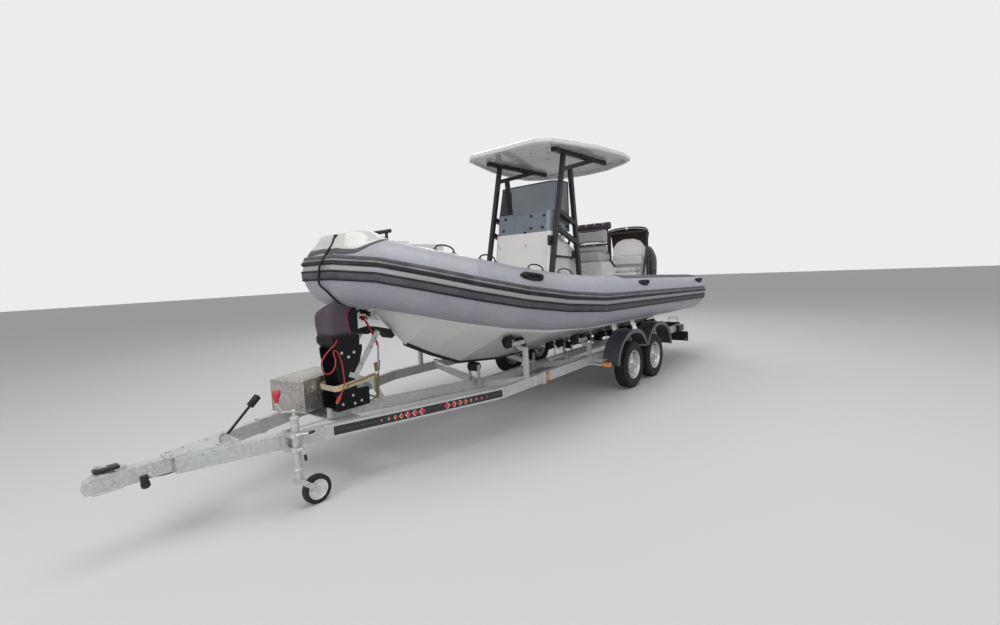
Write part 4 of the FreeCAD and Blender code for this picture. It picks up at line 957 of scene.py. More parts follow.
def make_hub(name, centre, axis):
    """Grease cap, wheel nuts, valve and rim beads."""
    bm = bmesh.new()
    face_y = TYRE_HALF - 0.018
    turned(bm, [(0.0, face_y + 0.022), (0.018, face_y + 0.0215), (0.0235, face_y + 0.018),
                (0.0255, face_y + 0.011),
                (0.0258, face_y + 0.004), (0.030, face_y + 0.003), (0.030, face_y - 0.002)], centre, axis,
                0, 32)
    beads = ((-0.0125, 0.021), (-0.006, 0.0125), (-0.001, 0.0112), (0.002, 0.0135), (-0.002, 0.0165),
             (-0.0125, 0.021))
    turned(bm, [(RIM_R + out, TYRE_HALF - inset) for out, inset in beads], centre, axis, 1, 64)
    for k in range(5):
        seat = centre + spoke(72.0 * k + 18.0) * 0.056 + axis * (face_y - 0.006)
        turned(bm, [(0.0125, -0.004), (0.0125, 0.003), (0.0108, 0.007)], seat, axis, 0, 18)
        hexagon(bm, seat + axis * 0.006, axis, 0.019, 0.013, 0)
        rod(bm, seat, seat + axis * 0.023, 0.0055, 0, 10)
    stem = centre + spoke(115.0) * 0.150 + axis * 0.024
    turned(bm, [(0.0, 0.032), (0.0035, 0.032), (0.0045, 0.030), (0.0045, 0.020), (0.0055, 0.019),
                (0.008, 0.004), (0.008, -0.006)], stem, axis, 2, 12)
    finish("hub_" + name, bm, ["bright_metal", "rim_silver", "black_rubber"], "wheel_" + name)


for (fore, x), (hand, sign) in product(AXLES, HANDS):
    for make in (make_tyre, make_hub):
        make("%s_%s" % (fore, hand), at(x, sign * WHEEL_Y, AXLE_Z), ACROSS * sign)


# Outline of a fender's front half: X and Z in millimetres, and the radius of its rolled edge
FENDER = ((920, 386), (845, 590), (640, 728), (455, 760), (270, 738), (110, 655), (0, 510))
EDGE_R = 0.0055


def make_fender_trim():
    """Rolled edge along the outer lip, and the bolts that hold each fender."""
    bm = bmesh.new()
    outer = WHEEL_Y + 113.5
    spots = [Vector((x, outer, z + 1.0)) for x, z in FENDER]
    arc = []
    for k in (0, 2, 4):
        a, b, c = spots[k:k + 3]
        for step in range(8):
            t = step / 8.0
            arc.append(a * (2 * (t - 0.5) * (t - 1)) + b * (4 * t * (1 - t)) + c * (2 * t * (t - 0.5)))
    arc.append(spots[-1])
    for sign in (1.0, -1.0):
        path = [at(p.x * sign, p.y, p.z) for p in arc]
        side = (path[1] - path[0]).cross(ACROSS).normalized()
        turns = [math.pi * k / 4 for k in range(8)]
        sweep(bm, path, [path[0] + (ACROSS * math.cos(t) + side * math.sin(t)) * EDGE_R for t in turns])
        bolts(bm, [(sign * 916.0, 905.0, 432.0)], (sign, 0, 0.35), index=1)
    bolts(bm, product((-11.0, 11.0), (905.0, 1010.0), (512.5,)), UP, index=1)
    mirror_y(bm)
    finish("fender_trim", bm, ["grey_plastic", "bright_metal"])


make_fender_trim()


# Trailer hardware
BEAM_TOP, BEAM_Y, BEAM_W = 506.0, 800.0, 50.0
BEND, NOSE = (2750.0, 800.0), (5080.0, 42.0)
ARM_RUN = Vector((NOSE[0] - BEND[0], NOSE[1] - BEND[1], 0.0)).normalized()
ARM_OUT = Vector((-ARM_RUN.y, ARM_RUN.x, 0.0))
ARM_SLOPE = math.hypot(NOSE[0] - BEND[0], BEND[1] - NOSE[1]) / (NOSE[0] - BEND[0])


def arm_face(x, z, off=0.0):
    """Point on the outer face of the port drawbar arm, in metres."""
    y = BEND[1] + (x - BEND[0]) * (NOSE[1] + BEAM_W * ARM_SLOPE - BEND[1]) / (NOSE[0] - BEND[0])
    return at(x, y, z) + ARM_OUT * off


# Height of the strip's middle, and its arrows: place along X, half height and the way that they point
STRIP_Z = 456.0
ARROWS = ((3834, 8, 1), (3776, 13, 1), (3725, 17, 1), (3677, 21, 1), (3625, 24, 1), (3567, 26, 1),
          (3508, 28, 1),
          (3295, 28, -1), (3235, 26, -1), (3179, 23, -1), (3127, 20, -1), (3075, 16, -1), (3022, 12, -1),
          (2970, 9, -1), (2916, 6, -1))


def make_arm_stripe():
    """Dark strip with rows of arrows that grow from both ends towards its middle."""
    bm = bmesh.new()

    def tape(x0, x1, z0, z1, thick, index):
        a, tall, out = arm_face(x0, z0), UP * (z1 - z0) * MM, ARM_OUT * thick
        colour_all(sweep(bm, [a, arm_face(x1, z0)], [a, a + tall, a + tall + out, a + out]), index)

    def film(spots, index):
        face = bm.faces.new([bm.verts.new(p + ARM_OUT * 0.0014) for p in spots])
        face.material_index = index
        solid = bmesh.ops.extrude_face_region(bm, geom=[face])["geom"]
        verts = [g for g in solid if isinstance(g, bmesh.types.BMVert)]
        bmesh.ops.translate(bm, vec=ARM_OUT * -0.0003, verts=verts)

    tape(4179.0, 2752.0, 423.0, 489.0, 0.0010, 0)
    for x0, x1 in ((4172.0, 3865.0), (2895.0, 2758.0)):
        tape(x0, x1, STRIP_Z - 1.0, STRIP_Z + 1.0, 0.0014, 2)
    for x, half, way in ARROWS:
        wide, edge = half * 0.85, way * (2.0 + half * 0.12)
        tip, tail = arm_face(x + way * wide, STRIP_Z), arm_face(x - way * wide, STRIP_Z)
        rim = (arm_face(x, STRIP_Z + half), arm_face(x, STRIP_Z - half))
        film((tip, rim[0], tail, rim[1]), 1)
        ahead = arm_face(x + edge, STRIP_Z) - arm_face(x, STRIP_Z)
        for spot in rim:
            film((tip, tip + ahead, spot + ahead, spot), 3)
    mirror_y(bm)
    finish("arm_stripes", bm, ["strip_dark", "red_film", "strip_grey", "dial_marks"])


def make_frame_bolts():
    """Bolts, nuts and clamp plates over the frame's joints."""
    bm = bmesh.new()
    bolts(bm, product((2060, 2095), (BEAM_Y + 12,), (404, 508)), ACROSS, 0.012, 0.008)
    for x in (2130, 1000, -960, -1990):
        block(bm, at(x - 62, BEAM_Y, 420), at(x + 62, BEAM_Y + 6, 492), 0, 0.0025)
        bolts(bm, product((x - 45, x + 45), (BEAM_Y + 6,), (436, 476)), ACROSS, index=1)
    for x in (507, -217):
        block(bm, at(x - 55, BEAM_Y, 400), at(x + 55, BEAM_Y + 5, 440), 0, 0.002)
        bolts(bm, product((x - 38, x + 38), (BEAM_Y + 5,), (421,)), ACROSS, index=1)
    bolts(bm, product((2080, 1040, -1000), (30,), (316, 360)), ACROSS, 0.012, 0.008, 1)
    bolts(bm, product((3830, 3965), (140, 250, 350), (428,)), UP, 0.012, 0.008, 1)
    bolts(bm, product((4445, 4505), (335,), (452, 478)), ACROSS, 0.011, 0.008, 1)
    nose = ((4760, 110), (4850, 95), (5000, 62), (5080, 45))
    bolts(bm, [(x, y, BEAM_TOP + 8) for x, y in nose], UP, 0.014, 0.010, 1)
    mirror_y(bm)
    finish("frame_bolts", bm, ["galvanised", "bright_metal"])


def make_beam_fittings():
    """Sleeve and stiffener where each arm meets the jockey clamp, and end caps."""
    bm = bmesh.new()
    a, b = arm_face(4452.0, 400.0), arm_face(4400.0, 400.0)
    section = ((4, 0), (4, 112), (-58, 112), (-58, 107), (0, 107), (0, 5), (-58, 5), (-58, 0))
    sweep(bm, [a, b], ring_of(a, ARM_OUT, UP, section))
    block(bm, at(-2236, 751, 404), at(-2229, 803, 509), 1, 0.003)
    mirror_y(bm)
    finish("beam_fittings", bm, ["galvanised", "black_plastic"])


def make_coupling_trim():
    """Grip, neck rings, safety pin and stabiliser details on the coupling."""
    bm = bmesh.new()
    block(bm, at(5332, -33, 522), at(5452, 33, 546), 0, 0.009, 3)
    block(bm, at(5300, -20, 500), at(5360, 20, 534), 1, 0.008, 2)
    block(bm, at(5330, -46, 408), at(5470, 46, 421), 1, 0.004)
    for sign in (1, -1):
        bolts(bm, product((5100, 5200), (sign * 40,), (440, 480)), ACROSS * sign, 0.017, 0.012, 2)
        turned(bm, [(0.0, 0.010), (0.017, 0.009), (0.019, 0.004), (0.019, 0.0)], at(5395, sign * 42, 462),
               ACROSS * sign, 2, 20)
        bolts(bm, ((4738, sign * 130, 514), (5100, sign * 46, 514)), UP, 0.016, 0.010, 2)
    finish("coupling_trim", bm, ["black_plastic", "galvanised", "bright_metal"])


def make_brake_rods():
    """Brake rod, its equaliser and the cables to each arm."""
    bm = bmesh.new()
    run = ((4950, 440), (4020, 440), (3960, 430), (2010, 262), (560, 262))
    for (x0, z0), (x1, z1) in zip(run, run[1:]):
        rod(bm, at(x0, 0, z0), at(x1, 0, z1), 0.006, 0, 12)
    block(bm, at(540, -90, 252), at(566, 90, 272), 0, 0.004)
    for x in (3400, 2700, 1700):
        z = 262 + max(0, x - 2010) * (430 - 262) / 1950
        block(bm, at(x - 8, -14, z - 8), at(x + 8, 14, z + 30), 0, 0.002)
    finish("brake_rods", bm, ["galvanised"])
    for (hand, sign), (fore, y, x) in product(HANDS, (("front", 70, 490), ("rear", 45, -235))):
        line("brake_cable_%s_%s" % (fore, hand), [at(x0, sign * y0, z0) for x0, y0, z0 in (
            (552, y, 262), (552 + (x - 552) * 0.3, y, 262), (x + 60, 250, 300), (x + 30, 520, 320),
            (x, 600, 336), (x - 20, 760, 322), (x - 60, 830, 306))], 0.0045, "black_rubber")


def make_wiring():
    """Light cable along the arm's inner face, with its clips and plug."""
    inside = -0.0565
    line("light_cable", [
        at(5228, 40, 430), at(5160, 30, 405), at(5040, 20, 404), at(4960, 22, 432)]
        + [arm_face(x, 440, inside) for x in (4900, 4400, 3800, 3000)]
        + [at(2700, 738, 440), at(2200, 743, 440), at(1200, 743, 440)], 0.0045, "black_rubber")
    bm = bmesh.new()
    for x in (4640, 4150, 3700, 3200):
        spot = arm_face(x, 440, inside)
        block(bm, spot - Vector((0.010, 0.008, 0.007)), spot + Vector((0.010, 0.006, 0.007)), 0, 0.002)
    turned(bm, [(0.0, -0.01), (0.019, -0.01), (0.021, 0.0), (0.021, 0.035), (0.024, 0.036), (0.024, 0.062),
                (0.017, 0.070), (0.0, 0.070)], at(5233, 38, 434), (-0.1, 0.0, -1.0), 0, 20)
    finish("cable_clips", bm, ["black_plastic"])


def make_lamp_trim():
    """Side lamps, reflectors, light boards and their lenses."""
    bm = bmesh.new()
    for low, high, index, soften in (
            ((1986, 809, 411), (2044, 813, 501), 1, 0.002), ((1995, 812, 420), (2035, 815.5, 492), 0, 0.0015),
            ((996, 955, 391), (1003, 1039, 444), 1, 0.002), ((1003, 1034, 398), (1069, 1040, 437), 0, 0.002),
            ((-2352, 576, 395), (-2331, 582, 476), 1, 0.002),
            ((-2352, 700, 395), (-2331, 706, 476), 1, 0.002),
            ((-2353, 584, 403), (-2349, 636, 467), 2, 0.0015),
            ((-2353, 638, 403), (-2349, 666, 467), 0, 0.0015),
            ((-2353, 668, 403), (-2349, 696, 467), 2, 0.0015),
            ((-2334.5, 710, 300), (-2329.5, 770, 348), 2, 0.002),
            ((-2334.5, 830, 300), (-2329.5, 890, 348), 2, 0.002)):
        block(bm, at(*low), at(*high), index, soften)
    block(bm, at(-2238, 744, 400), at(-1992, 858, 512), 1, 0.008, 3)
    for x, way in ((-2330, -1), (-2305, 1)):
        spots = [(x, y, z) for y, z in ((520, 500), (730, 500), (590, 240), (870, 240))]
        bolts(bm, spots, ALONG * way, 0.012, 0.007, 3)
    mirror_y(bm)
    finish("lamp_trim", bm, ["amber_lens", "black_plastic", "red_lens", "bright_metal"])
    for hand, sign in HANDS:
        for name, r, spots in (("wire", 0.004, ((572, 526), (572, 622), (728, 622), (728, 526))),
                               ("bar", 0.0035, ((572, 588), (728, 588)))):
            line("guard_%s_%s" % (name, hand), [at(-2312, sign * y, z) for y, z in spots], r, "black_steel",
                 2)


# Keel's line as X and Z, the keel rollers along it and their axles' drop below it
KEEL = ((-2080.0, 460.0), (900.0, 537.0), (1900.0, 560.0), (2500.0, 625.0))
ROLLERS_X = (-1650.0, -700.0, 250.0, 1200.0, 2250.0)
ROLLER_DROP = 52.5


def make_roller_trim():
    """Axle nuts and split pins for the keel rollers, and bolts on the cradle rails."""
    bm = bmesh.new()
    for (x0, z0), (x1, z1) in zip(KEEL, KEEL[1:]):
        for x in [x for x in ROLLERS_X if x0 < x <= x1]:
            keel = z0 + (z1 - z0) * (x - x0) / (x1 - x0)
            z = keel - ROLLER_DROP - (12.0 if x > 1390.0 else 0.0)
            bolts(bm, [(x, 68, z)], ACROSS, 0.020, 0.012)
    bolts(bm, product((975, 1025, -985, -935), (462,), (430, 465)), ACROSS, 0.012, 0.008)
    mirror_y(bm)
    finish("roller_trim", bm, ["bright_metal"])


make_arm_stripe()
make_frame_bolts()
make_beam_fittings()
make_coupling_trim()
make_brake_rods()
make_wiring()
make_lamp_trim()
make_roller_trim()


# Console
CONSOLE_TOP, ROOF_Z, DECK_Z = 2016.0, 2955.0, 1030.0
# Lean of the console's front as run and rise, and of the dashboard
FRONT_LEAN, DASH_LEAN = (140.0, 986.0), (150.0, 310.0)
FRONT_TURN, DASH_TURN = (Matrix.Rotation(-math.atan2(*lean), 4, "Y") for lean in (FRONT_LEAN, DASH_LEAN))
FRONT_OUT = Vector((0.9901, 0, 0.1406))
DASH_OUT, DASH_UP = Vector((-0.4356, 0, 0.9002)), Vector((0.9002, 0, 0.4356))


def console_front(y, z, off=0.0):
    """Point on the console's leaning front."""
    return at(1385.0 - (z - DECK_Z) * FRONT_LEAN[0] / FRONT_LEAN[1], y, z) + FRONT_OUT * off


def dash(x, y, off=0.0):
    """Point on the sloping dashboard."""
    return at(x, y, 1800.0 + (x - 760.0) * DASH_LEAN[0] / DASH_LEAN[1]) + DASH_OUT * off


def make_console_trim():
    """Door, hooks, loudspeaker, lamp, hand rails and vents on the console."""
    bm = bmesh.new()
    # Front door, its hinges and latch
    plate(bm, console_front(0.0, 1370.0, 0.003), FRONT_TURN, (0.010, 0.500, 0.440), 0, 0.004)
    plate(bm, console_front(0.0, 1370.0, 0.006), FRONT_TURN, (0.012, 0.440, 0.380), 0, 0.005, 3)
    for y in (-150.0, 150.0):
        plate(bm, console_front(y, 1166.0, 0.006), FRONT_TURN, (0.010, 0.070, 0.036), 1, 0.003)
        rod(bm, console_front(y - 35, 1180.0, 0.012), console_front(y + 35, 1180.0, 0.012), 0.006, 1, 12)
    plate(bm, console_front(0.0, 1532.0, 0.013), FRONT_TURN, (0.010, 0.090, 0.050), 2, 0.003)
    plate(bm, console_front(0.0, 1532.0, 0.020), FRONT_TURN, (0.008, 0.040, 0.024), 1, 0.002)
    # Small hooks high on the front
    for y in (-347.0, 68.0):
        plate(bm, console_front(y, 1868.0, 0.002), FRONT_TURN, (0.006, 0.026, 0.044), 1, 0.002)
        rod(bm, console_front(y, 1862.0, 0.002), console_front(y, 1874.0, 0.030), 0.005, 1, 10)
        ball(bm, console_front(y, 1875.0, 0.032), 0.008, 1, rings=6)
    # Loudspeaker on the port corner, lamp and switch box on the port side
    block(bm, at(1262, 436, 1838), at(1362, 470, 1958), 2, 0.014, 3)
    block(bm, at(1215, 425, 1870), at(1280, 446, 1926), 2, 0.004)
    for r in (0.036, 0.026, 0.014):
        turned(bm, [(r, 0.0), (r + 0.002, 0.0025), (r + 0.004, 0.0)], at(1312, 470, 1904), ACROSS, 2, 28)
    turned(bm, [(0.0, 0.046), (0.026, 0.044), (0.037, 0.036), (0.040, 0.022), (0.036, 0.006),
                (0.030, -0.004)],
           at(1066, 440, 1938), ACROSS, 1, 28)
    turned(bm, [(0.0, 0.0475), (0.024, 0.0460), (0.030, 0.0425)], at(1066, 440, 1938), ACROSS, 3, 28)
    # Hand rails on both sides
    for sign in (1.0, -1.0):
        rod(bm, at(830, sign * 478, 1690), at(1180, sign * 478, 1712), 0.0125, 2, 16)
        for x, z in ((830.0, 1690.0), (1180.0, 1712.0)):
            ball(bm, at(x, sign * 478, z), 0.0125, 2, rings=8)
            rod(bm, at(x, sign * 478, z), at(x, sign * 439, z), 0.011, 2, 14)
            rod(bm, at(x, sign * 443, z), at(x, sign * 439, z), 0.024, 2, 18)
    block(bm, at(745, 436, 1690), at(812, 476, 1782), 2, 0.010, 3)
    # Side vents
    for sign in (1.0, -1.0):
        block(bm, at(905, sign * 443 - 4, 1240), at(1105, sign * 443 + 4, 1380), 0, 0.003)
        turn = Matrix.Rotation(sign * math.radians(35), 4, "X")
        for k in range(5):
            plate(bm, at(1005, sign * 448, 1262 + 24 * k), turn, (0.176, 0.016, 0.003), 0, 0.001, 1)
    finish("console_trim", bm, ["gelcoat_white", "bright_metal", "black_plastic", "lamp_glass"])


def make_dash():
    """Screen, gauges, switches, compass and throttle at the helm."""
    bm = bmesh.new()
    plate(bm, dash(915.0, -120.0, 0.004), DASH_TURN, (0.262, 0.360, 0.008), 0, 0.003)
    plate(bm, dash(930.0, -150.0, 0.012), DASH_TURN, (0.170, 0.240, 0.016), 1, 0.006, 3)
    plate(bm, dash(930.0, -156.0, 0.0202), DASH_TURN, (0.140, 0.196, 0.0015), 2, 0.0005, 1)
    for k in range(4):
        turned(bm, [(0.0, 0.006), (0.0065, 0.005), (0.007, 0.0)], dash(875.0 + 36.0 * k, -43.0, 0.020),
               DASH_OUT, 1, 14)
    for y in (50.0, 155.0):
        turned(bm, [(0.0, 0.006), (0.036, 0.006), (0.038, 0.011), (0.042, 0.012), (0.045, 0.008),
                    (0.045, -0.002)],
               dash(1010.0, y), DASH_OUT, 1, 32, lambda radius: 3 if radius < 0.036 else 1)
        face = dash(1010.0, y, 0.0066)
        for tick in range(11):
            a = math.radians(-130 + 26 * tick)
            d = DASH_UP * math.cos(a) + ACROSS * math.sin(a)
            rod(bm, face + d * 0.026, face + d * 0.033, 0.0007, 4, 6)
        d, pin = DASH_UP * math.cos(-1.2) + ACROSS * math.sin(-1.2), dash(1010.0, y, 0.0075)
        rod(bm, pin, pin + d * 0.028, 0.0008, 5, 6)
    plate(bm, dash(900.0, 300.0, 0.003), DASH_TURN, (0.200, 0.120, 0.006), 0, 0.002)
    for k in range(6):
        row, col = k % 3, k // 3
        spot = dash(845.0 + 55.0 * row, 272.0 + 56.0 * col, 0.006)
        plate(bm, spot, DASH_TURN, (0.036, 0.024, 0.006), 1, 0.002, 1)
        plate(bm, spot + DASH_OUT * 0.004, DASH_TURN @ Matrix.Rotation(0.18, 4, "Y"),
              (0.026, 0.015, 0.006), 1, 0.002, 2)
    # Compass on the console's top
    turned(bm, [(0.0, 0.075), (0.024, 0.071), (0.040, 0.058), (0.047, 0.036), (0.046, 0.022)],
           at(1190, 40, CONSOLE_TOP), UP, 6, 32)
    turned(bm, [(0.046, 0.024), (0.056, 0.022), (0.060, 0.014), (0.058, 0.003), (0.062, -0.001)],
           at(1190, 40, CONSOLE_TOP), UP, 1, 32)
    # Throttle beside the wheel
    block(bm, at(745, -330, 1785), at(835, -262, 1868), 1, 0.016, 3)
    turned(bm, [(0.0, 0.016), (0.024, 0.015), (0.028, 0.010), (0.028, -0.004)], at(790, -262, 1838), ACROSS,
           5, 24)
    rod(bm, at(790, -250, 1838), at(742, -250, 1938), 0.009, 5, 14)
    rod(bm, at(742, -218, 1944), at(742, -282, 1944), 0.015, 1, 18)
    for y in (-218, -282):
        ball(bm, at(742, y, 1944), 0.015, 1, rings=8)
    # Locker door on the helm side and a foot rail
    block(bm, at(731, -300, 1180), at(742, 300, 1660), 7, 0.004, 2)
    block(bm, at(726, 218, 1390), at(733, 268, 1450), 1, 0.003, 2)
    rod(bm, at(690, -300, 1150), at(690, 300, 1150), 0.0125, 5, 16)
    for y in (-250.0, 250.0):
        rod(bm, at(690, y, 1150), at(742, y, 1150), 0.010, 5, 14)
    finish("helm_controls", bm, ["black_plastic", "black_plastic", "display_glass", "dial_face", "dial_marks",
                                 "bright_metal", "compass_glass", "gelcoat_white"])


def make_wheel_trim():
    """Grip ridges and the hub's cap on the steering wheel."""
    bm = bmesh.new()
    hub, t = at(590, 110, 1960), math.radians(28.0)
    axis = Vector((-math.cos(t), 0, math.sin(t)))
    up = Vector((math.sin(t), 0, math.cos(t)))
    turned(bm, [(0.0, 0.022), (0.020, 0.020), (0.030, 0.013), (0.0345, 0.006), (0.0345, -0.016)], hub, axis,
           0, 32)
    for k in range(48):
        a = 2 * math.pi * k / 48
        middle = hub + (ACROSS * math.cos(a) + up * math.sin(a)) * 0.165
        tangent = up * math.cos(a) - ACROSS * math.sin(a)
        turned(bm, [(0.0138, -0.0045), (0.0152, -0.002), (0.0152, 0.002), (0.0138, 0.0045)], middle,
               tangent, 1, 14)
    finish("wheel_trim", bm, ["bright_metal", "black_rubber"], "helm_wheel")


# The screen's band: its height and how far its front leans back, and the knobs that hold it
BAND_TALL, BAND_LEAN = 246.0, 34.0
KNOB = [(0.0, 0.018), (0.012, 0.017), (0.0165, 0.013), (0.0165, 0.007), (0.013, 0.005), (0.014, 0.0)]


def bead(bm, path, section):
    """Moulding laid along a level path: its section across the path and up."""
    side = (path[1] - path[0]).normalized().cross(UP)
    sweep(bm, path, ring_of(path[0], side, UP, section))


def make_screen_trim():
    """Fixing knobs, edge mouldings and side stays of the windscreen."""
    bm = bmesh.new()
    for y, z in ((-270, 2216), (127, 2218), (317, 2207), (-296, 2072), (128, 2072), (300, 2068)):
        spot = at(1245.0 - (z - CONSOLE_TOP) * BAND_LEAN / BAND_TALL, y, z)
        turned(bm, KNOB + [(0.018, -0.001)], spot, (BAND_TALL, 0, BAND_LEAN), 0, 20)
    for x, sign, z in product((1080, 920), (1, -1), (2216, 2072)):
        turned(bm, KNOB, at(x, sign * 444, z), ACROSS * sign, 0, 20)
    # Moulding round the top edge and down the back edges of the screen
    top, back = ROOF_Z - 335.0, 860.0
    front, wide, corner = 1120.0 - 3.0, 441.0, 120.0
    plan = [(back, wide), (front - corner, wide)]
    for k in range(1, 6):
        a = math.pi / 2 * (1 - k / 6.0)
        plan.append((front - corner + corner * math.cos(a), wide - corner + corner * math.sin(a)))
    plan.append((front, wide - corner))
    plan += [(x, -y) for x, y in reversed(plan)]
    bead(bm, [at(x, y, top) for x, y in plan],
         ((-5.5, -9), (5.5, -9), (6.5, 0), (4.5, 4.5), (-4.5, 4.5), (-6.5, 0)))
    for sign in (1.0, -1.0):
        block(bm, at(854, sign * 441 - 6.5, CONSOLE_TOP + 2), at(864, sign * 441 + 6.5, top), 0, 0.003)
    finish("screen_trim", bm, ["black_plastic"])
    bm = bmesh.new()
    seam = [at(x + (94.0 if x > 900.0 else 0.0), y + math.copysign(3.5, y), CONSOLE_TOP + BAND_TALL)
            for x, y in plan]
    bead(bm, seam, ((-5, -5), (4, -5), (5, 0), (4, 5), (-5, 5)))
    finish("screen_joint", bm, ["screen_band"])


# T-top: outline of the roof's port half as X and Y, and the ceiling's bead as a share of it
ROOF_PLAN = ((1590, 470), (1480, 620), (1100, 735), (800, 820), (150, 890), (-120, 845), (-260, 700),
             (-450, 350), (-500, 0))
ROOF_MID, BEAD_SHARE = 545, 0.925
POST_Y = 490


def ceiling_z(x):
    return ROOF_Z + 10.0 + (1500.0 - x) * 0.025


def make_roof_trim():
    """Ceiling lamps, vents and bead, and the hand rails on the roof."""
    bm = bmesh.new()
    for x, y in ((1179, 133), (1253, 396), (1026, 269), (717, 77), (1179, -133), (1253, -396), (1026, -269),
                 (-40, 240), (-40, -240)):
        turned(bm, [(0.0, 0.008), (0.020, 0.008), (0.026, 0.006), (0.030, 0.0), (0.030, -0.002)],
               at(x, y, ceiling_z(x)), -UP, 1, 24, lambda radius: 3 if radius < 0.020 else 1)
    z = ceiling_z(-240)
    for y in (430, -430):
        for x in (-240, -256):
            block(bm, at(x - 5, y - 92, z - 4), at(x + 5, y + 92, z + 2), 2, 0.002)
        block(bm, at(-272, y - 100, z - 2.5), at(-224, y + 100, z + 2), 0, 0.002)
    port = [(ROOF_MID + (x - ROOF_MID) * BEAD_SHARE, y * BEAD_SHARE) for x, y in ROOF_PLAN]
    path = [at(x, y, ceiling_z(x)) for x, y in port]
    path += [other_side(p) for p in reversed(path[:-1])]
    seam = path[-1].lerp(path[0], 0.5)
    bead(bm, [seam] + path + [seam], ((-9, 2), (-6, -5), (0, -7), (6, -5), (9, 2)))
    crown = ROOF_Z + 95.0
    rail = crown + 42
    for sign in (1.0, -1.0):
        rod(bm, at(150, sign * 470, rail), at(850, sign * 430, rail), 0.0125, 1, 16)
        for x, y in ((150, 470), (500, 450), (850, 430)):
            foot = at(x, sign * y, crown - 2)
            rod(bm, foot, at(x, sign * y, rail), 0.011, 1, 14)
            rod(bm, foot, at(x, sign * y, crown + 4), 0.026, 1, 18)
        for x, y in ((150, 470), (850, 430)):
            ball(bm, at(x, sign * y, rail), 0.0125, 1, rings=8)
    finish("roof_trim", bm, ["gelcoat_white", "bright_metal", "black_plastic", "lamp_glass"])


def make_frame_plates():
    """Foot plates, gussets, end caps and bolts on the T-top's frame."""
    bm = bmesh.new()
    for y in (POST_Y, -POST_Y):
        for x in (1484.0, 680.0):
            block(bm, at(x - 62, y - 52, DECK_Z + 0.5), at(x + 62, y + 52, DECK_Z + 8), 0, 0.003)
            bolts(bm, product((x - 46, x + 46), (y - 38, y + 38), (DECK_Z + 8,)), UP, 0.012, 0.008, 1)
        for x in (1250.0, -80.0):
            z, end = ceiling_z(x) - 25.3, x + math.copysign(5, x)
            block(bm, at(min(x, end), y - 25.5, z - 25.5), at(max(x, end), y + 25.5, z + 25.2), 2, 0.002)
        for x in (1180.0, 900.0, 600.0, 300.0, 0.0):
            z = ceiling_z(x)
            block(bm, at(x - 22, y - 46, z - 8), at(x + 22, y + 46, z - 0.5), 0, 0.002)
            bolts(bm, product((x,), (y - 36, y + 36), (z - 8,)), -UP, 0.012, 0.008, 1)
    finish("ttop_plates", bm, ["frame_paint", "bright_metal", "black_plastic"])


make_console_trim()
make_dash()
make_wheel_trim()
make_screen_trim()
make_roof_trim()
make_frame_plates()


# Cushions: mesh size, the air's pressure and the frames that it takes to fill them
VOXEL, PRESSURE, AIR_FRAMES = 0.011, 4.0, 20


def puffed(name, low, high, soften, cap, material):
    """Cushion swollen by air pressure inside its cover, by no more than cap."""
    bm = bmesh.new()
    low, high = at(*low), at(*high)
    inset = Vector((cap, cap, cap)) * 0.55
    block(bm, low + inset, high - inset, 0, soften, 3)
    bmesh.ops.recalc_face_normals(bm, faces=bm.faces)
    mesh = bpy.data.meshes.new(name)
    bm.to_mesh(mesh)
    bm.free()
    piece = add(name, mesh)
    remesh = piece.modifiers.new("even", "REMESH")
    remesh.mode, remesh.voxel_size = "VOXEL", VOXEL
    bake_modifiers(piece)
    start = [v.co.copy() for v in piece.data.vertices]
    cloth = piece.modifiers.new("air", "CLOTH")
    cloth.settings.quality = 5
    cloth.settings.mass = 0.3
    cloth.settings.use_pressure = True
    cloth.settings.uniform_pressure_force = PRESSURE
    cloth.settings.effector_weights.gravity = 0.0
    cloth.point_cache.frame_start, cloth.point_cache.frame_end = 1, AIR_FRAMES
    scene = bpy.context.scene
    for step in range(1, AIR_FRAMES + 1):
        scene.frame_set(step)
    bake_modifiers(piece)
    for vert, rest in zip(piece.data.vertices, start):
        move = vert.co - rest
        if move.length > cap:
            vert.co = rest + move * (cap / move.length)
    scene.frame_set(1)
    smoothed(piece)
    bake_modifiers(piece)
    for face in piece.data.polygons:
        face.use_smooth = True
    piece.data.materials.clear()
    piece.data.materials.append(MATERIALS[material])
    for vert in piece.data.vertices:
        vert.co = [max(a, min(b, c)) for a, b, c in zip(low, high, vert.co)]
    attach(piece, ROOT)
    return piece


def bake_modifiers(piece):
    """Put the shape that the modifiers give into the mesh."""
    graph = bpy.context.evaluated_depsgraph_get()
    shaped = bpy.data.meshes.new_from_object(piece.evaluated_get(graph), depsgraph=graph)
    old = piece.data
    piece.modifiers.clear()
    piece.data = shaped
    bpy.data.meshes.remove(old)


def welt(name, corners, corner):
    """Piping sewn round a cushion's face, with rounded corners."""
    points = []
    for k, here in enumerate(corners):
        before, after = corners[k - 1], corners[(k + 1) % len(corners)]
        points += [here + (before - here).normalized() * corner, here,
                   here + (after - here).normalized() * corner]
    line(name, points, 0.0042, "welt_grey", cyclic=True, fine=2, parts=4)


